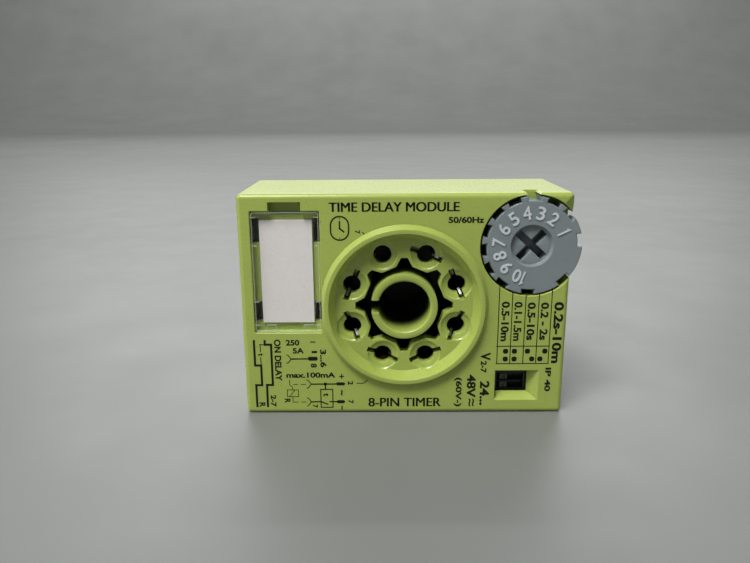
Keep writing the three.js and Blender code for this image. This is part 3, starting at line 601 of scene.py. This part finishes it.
def corner_facet(top, slope):
    """Cuts the sloping facet on the corner beside the dial; top is its distance from the side there."""
    side, low, run = CASE_W / 2, CASE_H - 3.2, 0.828
    points = []
    for z in (low, CASE_H + PAST):
        ridge = side - top + (z - CASE_H) * run
        points += [(ridge, 0, z), (side + PAST, (side + PAST - ridge) * slope, z)]
        points += [(ridge, -PAST, z), (side + PAST, -PAST, z)]
    return hull(points)


def index_notch():
    """The pointer beside the dial: a notch through the top that widens upwards."""
    half = [(0.6, 34.2), (0.72, 34.6), (1.25, 35.02), (2.2, 36)]
    notch = [(DIAL_X + x, z) for x, z in half] + [(DIAL_X - x, z) for x, z in reversed(half)]
    return loft(notch, rim(POCKET_D, lip=0.1, fillet=0.1))


def switch_funnel():
    """The switch window, whose right and lower sides slope in; its front edge is broken by 0.1."""
    x0, x1, z0, z1 = SWITCH
    rings = []
    for y, slope, out in ((-PAST, 0, 0.1), (0, 0, 0.1), (0.1, 0, 0), (WALL, 1, 0), (WALL + PAST, 1, 0)):
        right, low = x1 - slope * SWITCH_SLOPE[0], z0 + slope * SWITCH_SLOPE[1]
        outline = widened([(x0, low), (right, low), (right, z1), (x0, z1)], out)
        rings.append([(x, y, z) for x, z in outline])
    return skinned(rings)


def window_cuts():
    """The label recess, the pry notch above it and the slots for the cover's legs."""
    x0, x1, z0, z1 = WIN
    middle = (x0 + x1) / 2
    pry = rectangle(middle - 2.425, middle + 2.425, z1 - 0.6, z1 + 1.35, 0.08, 2)
    tools = [loft(rectangle(x0, x1, z0, z1, 0.2), rim(1.4, lip=0.16, fillet=0.12))]
    tools.append(loft(pry, rim(2.0, lip=0.06, fillet=0.1)))
    for a, b, c, d in leg_slots():
        left, right = (0.3, 0.15) if a < middle else (0.15, 0.3)
        tools.append(block(a - left, b + right, 0.13, 3.4, c, d))
    return tools


def housing():
    side, inner = CASE_W / 2, CASE_W / 2 - WALL
    low, high = WALL, CASE_H - WALL
    shell = block(-side, side, 0, CASE_D, 0, CASE_H, EDGE, 5)
    hollow = [(WALL, -0.4), (WALL + 0.4, 0), (CASE_D - 0.25, 0), (CASE_D + PAST, 0.45)]
    combine(shell, [loft(rectangle(-inner, inner, low, high, 0.5), hollow)])

    added = [block(-inner - INTO, WIN[1], INTO, 2.4, WIN[2] - 1, high + INTO)]
    for sign in (-1, 1):
        for z0, z1 in ((low - INTO, low + HOUSING_POST), (high - HOUSING_POST, high + INTO)):
            x0, x1 = sorted((sign * (inner - HOUSING_POST), sign * (inner + INTO)))
            added.append(block(x0, x1, INTO, 8.1, z0, z1))
    added += [collar(), lathe([(0, INTO), (12.3, INTO), (12.3, 2.8), (0, 2.8)], z=MID_Z)]
    combine(shell, added, "UNION")

    tools = [receptacle(), loft(star_outline(), rim(5.0, lip=0.08, front=FLOOR, steps=2))]
    for number in range(1, 9):
        tools += pin_hole(number)
    tools.append(loft(circle(POCKET_R, DIAL_X, DIAL_Z), rim(POCKET_D, lip=0.12, fillet=0.2)))
    tools.append(block(DIAL_X - 3.85, DIAL_X + 3.85, 3.9, 8.4, DIAL_Z - 3.85, DIAL_Z + 3.85))
    tools += [index_notch(), corner_facet(0.15, 0.41), corner_facet(0.32, 0.22)]
    tools += window_cuts()
    tools.append(switch_funnel())
    for sign, z in HOOK_PLACES:
        a, b = sorted((sign * (inner - PAST), sign * (side + PAST)))
        tools.append(block(a, b, 13.15, 15.25, z - 2.65, z + 2.65))
    return combine(shell, tools)


piece(housing(), "case_shell", "case", green, ["housing"])

# ---------------------------------------------------------------- base plate, guide tube and spigot


def guide_tube():
    """The tube that the relay's spigot goes into, with a slot for its key."""
    inner = [(TUBE_BORE, BASE_JOIN), (TUBE_BORE, 0.6), (4.05, 0.48), (4.2, 0.33), (4.27, 0.3)]
    outer = [(5.03, 0.3), (5.11, 0.33), (TUBE_R, 0.41), (TUBE_R, BASE_JOIN)]
    rings = [[(x, y, z) for x, z in circle(r, 0, MID_Z)] for r, y in inner + outer]
    keyway = block(-7, 0, -1, BASE_FRONT, MID_Z - 1.05, MID_Z + 1.05)
    return combine(skinned(rings, closed=True), [keyway])


def spigot():
    """The plug's spigot and its key."""
    root, tip = SPIGOT_R + 0.4, CASE_D + SPIGOT_LONG
    profile = [(0, BASE_JOIN - 0.1), (root, BASE_JOIN - 0.1), (root, CASE_D)]
    profile += arc(root, CASE_D, SPIGOT_R, CASE_D + 0.4, steps=3)[1:]
    profile += [(SPIGOT_R, tip - 1.0)]
    profile += arc(SPIGOT_R, tip - 1.0, 3.2, tip)[1:]
    profile += [(0, tip)]
    key = block(-5.05, -2.6, BASE_JOIN, tip - 1.5, MID_Z - 1, MID_Z + 1, 0.18, 2)
    return [lathe(profile, z=MID_Z), key]


def snap_hook(side, x, z):
    """A hook that reaches forwards from the base plate and snaps into the wall's window."""
    front = 13.3
    arm = [(x - 1.1, BASE_JOIN), (x - 1.1, front), (x, front), (x + 1.45, front + 1.8), (x, front + 1.8)]
    arm.append((x, BASE_JOIN))
    return skinned([[(side * px, y, z + half) for px, y in arm] for half in (-2.5, 2.5)])


def base_plate():
    edge = CASE_W / 2 - WALL - BASE_FIT
    low, high = WALL + BASE_FIT, CASE_H - WALL - BASE_FIT
    levels = [(BASE_FRONT, -0.3), (BASE_FRONT + 0.3, 0)]
    levels += [(CASE_D - 0.2, 0), (CASE_D - 0.06, -0.06), (CASE_D, -0.2)]
    plate = loft(rectangle(-edge, edge, low, high, 0.6), levels)

    parts = [guide_tube()] + spigot()
    for side in (-1, 1):
        for z0, z1 in ((low, low + BASE_POST), (high - BASE_POST, high)):
            x0, x1 = sorted((side * edge, side * (edge - BASE_POST)))
            parts.append(block(x0, x1, 10.3, BASE_JOIN, z0, z1, 0.15, 2))
    parts += [snap_hook(side, edge, z) for side, z in HOOK_PLACES]
    combine(plate, parts, "UNION")

    tools = []
    for number in range(1, 9):
        profile = [(0, BASE_FRONT - PAST), (1.3, BASE_FRONT - PAST), (1.3, CASE_D - 0.12)]
        profile += arc(1.3, CASE_D - 0.12, 1.48, CASE_D, steps=3)[1:]
        profile += [(1.48, CASE_D + PAST), (0, CASE_D + PAST)]
        tools.append(turn(lathe(profile, x=PIN_CIRCLE, z=MID_Z, count=32), pin_angle(number)))
    tip = CASE_D + SPIGOT_LONG
    bore = [(0, tip - 10.5), (2.3, tip - 10.5), (2.4, tip - 10.2), (2.4, tip - 0.2), (2.6, tip)]
    bore += [(2.6, tip + PAST), (0, tip + PAST)]
    tools.append(lathe(bore, z=MID_Z, count=48))
    return combine(plate, tools)


piece(base_plate(), "base_with_plug", "case", green_base, ["base_plate"])


def plug_pin(number):
    """A round tube pin whose tip is closed by a small bead of solder."""
    tip = CASE_D + PIN_LONG
    profile = [(0, 16.4), (1.9, 16.4), (2.0, 16.5), (2.0, 17.1), (1.9, 17.2)]
    profile += [(PIN_R, 17.2), (PIN_R, tip - 0.7)]
    profile += arc(PIN_R, tip - 0.7, 0.62, tip - 0.06)[1:]
    profile += [(0.55, tip - 0.1), (0.4, tip - 0.02), (0, tip)]
    return turn(lathe(profile, x=PIN_CIRCLE, z=MID_Z, count=32), pin_angle(number))


def fork(number):
    """A flat spring fork; the relay's pin goes in between its two prongs."""
    front, back = 3.1 if number == PLAIN_HOLE else 2.5, 16.1
    half = [(2.4, back), (2.4, front + 0.15), (2.25, front), (2.05, front)]
    half += [(1.1, front + 0.7), (1.1, front + 8.0)]
    outline = (half + [(-z, y) for z, y in reversed(half)])[::-1]
    rings = []
    for x, d in ((-0.25, -0.06), (-0.19, 0.0), (0.19, 0.0), (0.25, -0.06)):
        rings.append([(PIN_CIRCLE + x, y, MID_Z + z) for z, y in widened(outline, d)])
    return turn(skinned(rings), pin_angle(number))


def pin_numerals():
    """Small raised numbers on the back, one beside each pin."""
    radius, proud, sunk = 11.6, 0.12, 0.02
    made = []
    for number in range(1, 9):
        t = math.radians(pin_angle(number))
        x, z = radius * math.cos(t), MID_Z + radius * math.sin(t)
        wide = 0.4 if number == 1 else 0.9
        raised = marking(str(number), -x, z, wide, 1.4, y=-CASE_D - proud, thick=proud + sunk, bold=0.0)
        raised.data.transform(Matrix.Rotation(math.pi, 4, "Z"))
        made.append(raised)
    return join(made)


piece(pin_numerals(), "pin_numerals", "case", green_base)
for number in range(1, 9):
    piece(plug_pin(number), f"plug_pin_{number}", "case", brass, [f"pin_{number}"], smooth=40)
    piece(fork(number), f"spring_contact_{number}", "case", tin, [f"contact_{number}"])

# ---------------------------------------------------------------- label window


def cover():
    x0, x1, z0, z1 = WIN
    fit, middle = COVER_FIT, (x0 + x1) / 2
    outline = rectangle(x0 + fit, x1 - fit, z0 + fit, z1 - fit, 0.35)
    sheet = loft(outline, [(0.85, 0.0), (0.17, 0.0), (0.085, -0.035), (0.05, -0.12)])
    legs = [block(a + 0.175, b - 0.175, 0.5, 3.05, c + fit, d - fit, 0.06, 2) for a, b, c, d in leg_slots()]
    gate = lathe([(0, 0.03), (0.25, 0.04), (0.4, 0.1), (0.4, 0.5), (0, 0.5)], x=middle, z=z1 - 0.55, count=24)
    return join([combine(sheet, legs, "UNION"), gate])


def cover_edge():
    """Painted highlights where the cover's thickness shows: a pale line round its rim, the outlines of two
    small tabs and short lines by the legs.
    """
    x0, x1, z0, z1 = WIN
    fit, depths = COVER_FIT, (0.03, 0.3)
    made = [loop(x0 + fit, x1 - fit, z0 + fit, z1 - fit, 0.13, 0.35, 4, depths)]
    for a, b in ((x0 + 1.9, x0 + 3.3), (x1 - 2.7, x1 - 0.7)):
        tab = [(a, z0 + 0.3), (a, z0 + 1.25), (b, z0 + 1.25), (b, z0 + 0.3)]
        made.append(ribbon(tab, 0.1, depths))
    for a, b, c, d in leg_slots():
        for z in (c - 0.25, d + 0.25):
            made.append(ribbon([(a + 0.1, z), (b - 0.1, z)], 0.14, depths))
    return join(made)


def card():
    x, z = (WIN[0] + WIN[1]) / 2, (WIN[2] + WIN[3]) / 2
    outline = rectangle(x - 3.975, x + 3.975, z - 8.05, z + 8.05, 0.12, 2)
    return loft(outline, [(0.95, -0.02), (0.97, 0), (1.18, 0), (1.2, -0.02)])


piece(cover(), "clear_window", "label_cover", clear, ["window_cover"])
# painted highlight on the cover's rim, tabs and legs
piece(cover_edge(), "clear_window_edge_highlight", "label_cover", clear_edge_highlight)
piece(card(), "paper_card", "case", paper, ["label_card"])

# ---------------------------------------------------------------- dial


def gear_outline():
    """The dial's rim, notched between the numerals and at the three grips."""
    notches = list(DIAL_GRIPS) + [DIAL_FIRST + (k + 0.5) * DIAL_STEP for k in range(9)]
    notches = sorted(a % 360 for a in notches)
    root, half = DIAL_R - 0.7, 0.95
    at_rim = math.degrees(math.asin(half / DIAL_R))
    at_root = math.degrees(math.asin(half / root))
    points = []
    for i, a in enumerate(notches):
        following = notches[(i + 1) % len(notches)] + (360 if i == len(notches) - 1 else 0)
        points += [(DIAL_R, a - at_rim), (root, a - at_root), (root, a), (root, a + at_root)]
        start, end = a + at_rim, following - at_rim
        steps = max(2, int((end - start) / 3.5))
        points += [(DIAL_R, start + (end - start) * k / steps) for k in range(steps)]
    turned = [(r, math.radians(t)) for r, t in points]
    return [(DIAL_X + r * math.cos(t), DIAL_Z + r * math.sin(t)) for r, t in turned]


def dial():
    """The thumbwheel and its hub, with a cross slot in a round dish."""
    dish = 0.72
    levels = [(y, r - 0.14) for r, y in arc(0.0, 0.1, 0.14, 0.24, steps=4)] + [(3.3, 0.0)]
    wheel = loft(gear_outline(), levels)
    hub = lathe([(0, 2.9), (1.9, 2.9), (1.9, 6.6), (1.8, 6.7), (0, 6.7)], x=DIAL_X, z=DIAL_Z, count=40)
    combine(wheel, [hub], "UNION")
    face = [(0, -PAST), (3.26, -PAST), (3.26, 0.1), (3.22, 0.12)]
    face += [(2.98, dish - 0.04), (2.93, dish), (0, dish)]
    tools = [lathe(face, x=DIAL_X, z=DIAL_Z)]
    for angle in CROSS_ANGLES:
        slot = rectangle(DIAL_X - 2.75, DIAL_X + 2.75, DIAL_Z - 0.575, DIAL_Z + 0.575, 0.06, 2)
        tools.append(turn(loft(slot, rim(3.2, lip=0.09, front=dish, steps=3)), angle, DIAL_X, DIAL_Z))
    return combine(wheel, tools)


def digits(number, depths):
    """A number about its own middle; each 1 is a plain stroke with a flag and no foot."""
    y0, y1 = depths
    if number in (1, 10):
        x = 0.12 if number == 1 else -0.55
        one = ribbon([(x - 0.3, 0.66), (x, 0.94), (x, -1.0)], 0.22, depths)
        if number == 1:
            return one
        return join([one, marking("0", 0.42, 0, 1.2, NUMERAL_HIGH, y=y0, thick=y1 - y0, bold=0.012)])
    return marking(str(number), 0, 0, 1.2, NUMERAL_HIGH, y=y0, thick=y1 - y0, bold=0.012)


def numerals():
    """The dial's numbers 1 to 10, each standing upright as seen from the dial's middle."""
    lean = {1: -4.5, 10: 4.5}                # the first and the last stand a little apart
    made = []
    for number in range(1, 11):
        t = math.radians(DIAL_FIRST + (number - 1) * DIAL_STEP + lean.get(number, 0.0))
        x, z = DIAL_X + NUMERAL_R * math.cos(t), DIAL_Z + NUMERAL_R * math.sin(t)
        made.append(turn(digits(number, (-0.02, 0.14)), math.degrees(t) - 90, 0, 0))
        made[-1].data.transform(Matrix.Translation((x, 0, z)))
    return join(made)


piece(dial(), "range_dial", "dial", dial_grey, ["time_dial"])
piece(numerals(), "dial_numerals", "dial", numeral_grey)

# ---------------------------------------------------------------- range switch


def cad_box(name):
    """The two corners of a CAD node's box, in the module's own axes."""
    return [PLACE.inverted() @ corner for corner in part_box(name)]


def switch():
    """The switch's black body, with a track for each slider."""
    lo, hi = cad_box("switch_body")
    body = loft(rectangle(lo.x, hi.x, lo.z, hi.z, 0.15), [(lo.y, -0.1), (lo.y + 0.1, 0), (hi.y, 0)])
    tools = []
    for name in ("switch_slider_1", "switch_slider_2"):
        a, b = cad_box(name)
        track = rectangle(lo.x + 0.9, hi.x - 0.9, a.z - 0.1, b.z + 0.1, 0.08, 2)
        tools.append(loft(track, rim(lo.y + 1.3, lip=0.06, front=lo.y, steps=2)))
    return combine(body, tools)


def slider(name):
    a, b = cad_box(name)
    bar = loft(rectangle(a.x, b.x, a.z, b.z, 0.1, 2), [(a.y, -0.08), (a.y + 0.08, 0), (b.y, 0)])
    groove = block(a.x + 0.35, b.x - 0.35, a.y - PAST, a.y + 0.2, a.z + 0.15, b.z - 0.15)
    return combine(bar, [groove])


piece(switch(), "switch_block", "case", switch_black, ["switch_body"])
for i in (1, 2):
    node = f"switch_slider_{i}"
    piece(slider(node), f"switch_slide_{i}", f"range_slider_{i}", slider_grey, [node])

# ---------------------------------------------------------------- printed markings


HEAVY, LINE, THIN, HAIR = 0.34, 0.2, 0.13, 0.1           # widths of the printed lines
CLOCK, PLUS, LEADER = 0.22, 0.17, 0.12

LINES = (                        # width, then the points as (x, z)
    # how the contact follows the supply, with the delay between them
    (HEAVY, (-23.34, 12.36), (-23.34, 8.15), (-22.4, 8.15), (-22.4, 4.83), (-23.33, 4.83), (-23.33, 1.07)),
    (HEAVY, (-21.67, 12.35), (-21.67, 11.6), (-20.7, 11.6), (-20.7, 4.86), (-21.64, 4.86), (-21.64, 1.06)),
    (THIN, (-22.54, 11.6), (-21.75, 11.6)),
    (THIN, (-22.41, 11.6), (-22.41, 10.4)),
    (THIN, (-22.41, 9.5), (-22.41, 8.3)),
    # the contact
    (LINE, (-17.72, 9.2), (-14.9, 9.23)),
    # the coil side: its plus sign, the dashed lead, the two supply lines and the relay's coil
    (PLUS, (-10.2, 6.26), (-9.44, 6.26)),
    (PLUS, (-9.82, 6.64), (-9.82, 5.88)),
    (HAIR, (-18.03, 5.69), (-18.03, 4.79), (-17.65, 4.5), (-17.6, 4.05)),
    (HAIR, (-17.47, 4.94), (-16.79, 4.94)),
    (HAIR, (-16.31, 4.94), (-15.46, 4.94)),
    (LINE, (-14.71, 4.97), (-10.6, 4.98)),
    (LINE, (-12.42, 4.98), (-12.42, 4.1)),
    (LEADER, (-7.49, 5.1), (-6.41, 5.08), (-5.76, 5.64)),
    (LINE, (-14.75, 1.93), (-13.17, 1.98), (-12.0, 1.47)),
    (LINE, (-11.85, 1.96), (-10.5, 1.95)),
    (LINE, (-9.85, 1.26), (-9.85, 0.56)),
    (HAIR, (-18.14, 2.84), (-17.24, 3.98)),
    (HAIR, (-17.62, 2.8), (-17.62, 1.91), (-16.75, 1.91)),
    (HAIR, (-16.31, 1.91), (-15.51, 1.91)),
    # the clock's hands and ticks, and the leader to pin 7
    (CLOCK, (-9.69, 30.95), (-9.69, 29.8), (-9.0, 29.25)),
    (LEADER, (-9.69, 31.2), (-9.69, 31.42)),
    (LEADER, (-9.69, 28.26), (-9.69, 28.48)),
    (LEADER, (-6.35, 29.25), (-5.71, 28.71)),
    # the table of time ranges
    (THIN, (14.45, 20.85), (14.45, 8.3)),
    (THIN, (16.47, 19.85), (16.47, 8.3)),
    (THIN, (18.5, 19.5), (18.5, 8.3)),
    (THIN, (20.51, 19.7), (20.51, 8.3)),
    (THIN, (22.46, 20.35), (22.46, 8.3)),
    (THIN, (14.3, 11.18), (22.55, 11.18)),
    (THIN, (14.3, 8.3), (22.55, 8.3)),
)

FRAMES = (                       # x0, x1, z0, z1, width, corner radius, steps in each corner
    (-13.25, -11.2, 0.92, 4.15, 0.16, 0.0, 5),           # the timer
    (-18.52, -16.65, 2.8, 4.05, HAIR, 0.0, 5),           # the relay's coil
    (-11.14, -8.24, 27.95, 31.73, CLOCK, 1.44, 12),      # the clock
)

UPRIGHT_TEXT = (                 # text, middle x, middle z, length, height
    ("250", -17.35, 11.9, 2.1, 0.95),
    ("~", -14.2, 12.0, 0.75, 0.3),
    ("5A", -16.5, 10.57, 1.75, 0.9),
    ("max.100mA", -14.66, 6.5, 7.7, 0.9),
    ("50/60Hz", 9.1, 31.02, 5.3, 0.95),
)

TURNED_TEXT = (                  # the same, turned a quarter clockwise
    ("t", -22.38, 9.95, 0.42, 0.8),
    ("R", -22.5, 1.47, 0.8, 0.95),
    ("2-7", -20.72, 2.13, 2.0, 0.88),
    ("ON DELAY", -19.72, 8.99, 6.9, 1.05),
    ("8", -14.16, 8.1, 0.68, 0.95),
    ("1", -14.0, 10.35, 0.35, 0.85),
    ("3...6", -12.63, 9.27, 2.95, 0.98),
    ("2", -8.45, 5.14, 0.62, 0.85),
    ("t", -12.34, 3.15, 0.5, 0.9),
    ("~", -9.85, 3.49, 0.9, 0.4),
    ("7", -8.44, 1.94, 0.6, 0.85),
    ("7", -14.1, 1.2, 0.55, 0.8),
    ("R", -18.48, 2.13, 0.75, 0.92),
    ("7", -7.04, 29.27, 0.5, 0.75),
    # supply
    ("(60V-)", 8.5, 3.53, 4.95, 1.22),
    ("48V", 10.59, 4.55, 3.9, 1.4),
    ("~", 10.4, 1.75, 1.3, 0.4),
    ("~", 10.95, 1.75, 1.3, 0.4),
    ("V", 12.68, 9.5, 1.3, 1.55),
    ("2-7", 12.42, 7.77, 2.0, 0.95),
    ("24...", 12.7, 3.34, 4.1, 1.5),
    # time ranges
    ("0.5-10m", 15.48, 15.2, 6.4, 1.22),
    ("0.1-1.5m", 17.42, 15.2, 6.3, 1.22),
    ("0.5-10s", 19.45, 15.2, 6.1, 1.22),
    ("0.2 - 2s", 21.47, 15.2, 6.05, 1.22),
    ("IP 40", 22.57, 5.6, 4.0, 0.92),
)

TITLES = (                       # text, middle x, middle z, length, height, how far its two copies stand off
    ("TIME DELAY MODULE", -1.6, 33.0, 19.2, 1.4, 0.06),
    ("8-PIN TIMER", 0.1, 1.85, 11.4, 1.5, 0.05),
)


def socket_mark(x, z):
    """A socket contact's curled end, open to the left: two mirrored arms that meet at (x, z)."""
    arm = [(x - 0.72, z + 0.7), (x - 0.5, z + 0.92 * 0.7), (x - 0.28, z + 0.6 * 0.7), (x, z)]
    return [ribbon(arm, THIN), ribbon([(a, 2 * z - b) for a, b in arm], THIN)]


def plug_mark(x0, x1, z, half):
    """A plug contact's solid bar with rounded ends."""
    return patch(x0, x1, z - half, z + half, half * 0.98)


def spot(x, z, half, radius):
    return patch(x - half, x + half, z - half, z + half, radius)


def printed():
    made = [ribbon(points, width) for width, *points in LINES]
    made += [loop(*size) for size in FRAMES]
    made += [marking(*text) for text in UPRIGHT_TEXT]
    made += [marking(*text, 90) for text in TURNED_TEXT]
    made.append(marking("0.2s-10m", 23.62, 13.33, 9.95, 1.45, 90, bold=0.035))
    for text, x, z, length, height, off in TITLES:
        made += [marking(text, x + dx, z, length, height, bold=0.0) for dx in (-off, off)]
    for x, z in ((-17.68, 9.2), (-14.67, 4.97), (-14.71, 1.93)):
        made += socket_mark(x, z)
    made.append(plug_mark(-15.05, -13.5, 9.25, 0.33))
    made.append(plug_mark(-10.7, -9.3, 5.0, 0.26))
    made.append(plug_mark(-10.66, -9.36, 1.95, 0.27))
    made.append(spot(-12.42, 4.98, 0.26, 0.25))          # where the timer joins the supply line
    made.append(spot(-9.69, 29.8, 0.14, 0.13))           # the clock's middle
    # the sliders' places for each time range
    upper, lower = 10.35, 9.07
    for x, z in ((15.76, upper), (15.76, lower), (17.13, upper), (17.13, lower),
                 (19.15, upper), (19.87, lower), (21.86, upper), (21.15, lower)):
        made.append(spot(x, z, 0.4, 0.3))
    return join(made)


piece(printed(), "printed_markings", "case", ink, smooth=20)

# ---------------------------------------------------------------- inner pieces kept from the CAD

INNER = {
    "pot_body": moulded("pot_blue", (0.03, 0.09, 0.28), 0.4, mottle=0.1),
    "pot_rotor": moulded("pot_ivory", (0.62, 0.58, 0.50), 0.45, mottle=0.08),
    "circuit_board": moulded("board_brown", (0.24, 0.13, 0.045), 0.5, grain=3.0, depth=0.01, mottle=0.14),
    "timer_ic": moulded("component_black", (0.02, 0.02, 0.022), 0.5, mottle=0.2),
    "electrolytic_capacitor": moulded("sleeve_blue", (0.025, 0.06, 0.22), 0.25, depth=0.002, mottle=0.08),
    "film_capacitor": moulded("dipped_red", (0.30, 0.045, 0.025), 0.22, grain=2.0, depth=0.012,
                              mottle=0.12),
    "varistor": moulded("ceramic_tan", (0.42, 0.27, 0.12), 0.5, grain=4.0, depth=0.01, mottle=0.12),
    "coil_link_2": metal("tinned_wire", (0.62, 0.61, 0.58), 0.3, 0.3),
}
for black in ("bridge_rectifier", "thyristor", "transistor"):
    INNER[black] = INNER["timer_ic"]
for number in range(1, 5):
    INNER[f"resistor_{number}"] = INNER["varistor"]
INNER["coil_link_7"] = INNER["coil_link_2"]
for name, material in INNER.items():
    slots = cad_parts[name].data.materials
    slots.clear()
    slots.append(material)

# ---------------------------------------------------------------- camera, floor and light

camera = bpy.data.cameras.new("camera")
camera.sensor_width, camera.lens = 36.0, 32.445
camera.clip_start = 0.005
camera_object = bpy.data.objects.new("camera", camera)
scene.collection.objects.link(camera_object)
scene.camera = camera_object
camera_object.location = ORIGIN + Vector((-3.80, -99.05, 47.59)) * 0.001
camera_object.rotation_euler = [math.radians(a) for a in (75.33, 0.355, 0.298)]


def sweep(front, back, radius, high, half):
    """A floor that curves up into a plain backdrop behind the module, in metres."""
    line = [(front, 0.0)]
    line += [(back - radius + radius * math.sin(t), radius - radius * math.cos(t))
             for t in (math.pi / 2 * i / 12 for i in range(13))]
    line.append((back, high))
    bm = bmesh.new()
    rows = [[bm.verts.new((x, y, z)) for y, z in line] for x in (-half, half)]
    for i in range(len(line) - 1):
        bm.faces.new((rows[0][i], rows[1][i], rows[1][i + 1], rows[0][i + 1]))
    mesh = bpy.data.meshes.new("studio_floor")
    bm.to_mesh(mesh)
    bm.free()
    mesh.shade_smooth()
    ob = bpy.data.objects.new("studio_floor", mesh)
    scene.collection.objects.link(ob)
    return ob


floor = sweep(-3.0, 2.2, 0.8, 2.6, 3.5)
pale = Nodes("floor_pale")
cloud = pale.remap(pale.noise(0.01, 3.0), 0.3, 0.7, 0.0, 1.0)
pale.set(
    Base_Color=pale.mix(cloud, (0.170, 0.179, 0.168), (0.194, 0.203, 0.191)),
    Roughness=pale.remap(pale.noise(0.05, 3.0), 0.3, 0.7, 0.42, 0.5),
)
floor.data.materials.append(pale.material)


def lamp(name, size, power, place, target):
    """A soft rectangular light that faces its target, in metres and watts."""
    data = bpy.data.lights.new(name, "AREA")
    data.shape, data.size, data.size_y = "RECTANGLE", size[0], size[1]
    data.energy = power
    ob = bpy.data.objects.new(name, data)
    scene.collection.objects.link(ob)
    ob.location = place
    ob.rotation_euler = (Vector(target) - Vector(place)).to_track_quat("-Z", "Y").to_euler()


lamp("key", (0.22, 0.18), 4.0, (-0.16, -0.27, 0.57), (0, 0, 0.015))
lamp("side_left", (0.3, 0.5), 1.3, (-0.55, -0.2, 0.3), (0, 0, 0.02))
lamp("side_right", (0.3, 0.6), 0.5, (0.75, -0.2, 0.35), (0, 0, 0.02))
lamp("back_sheen", (1.1, 0.4), 5.2, (0.0, 0.85, 0.52), (0, 0, 0.03))
lamp("backdrop", (2.4, 0.5), 34.0, (0.0, 1.25, 1.5), (0, 2.2, 0.45))

world = bpy.data.worlds.new("studio")
scene.world = world
world.use_nodes = True
ambient = world.node_tree.nodes["Background"]
ambient.inputs["Color"].default_value = (0.86, 0.87, 0.88, 1)
ambient.inputs["Strength"].default_value = 0.14
scene.view_settings.view_transform = "Standard"
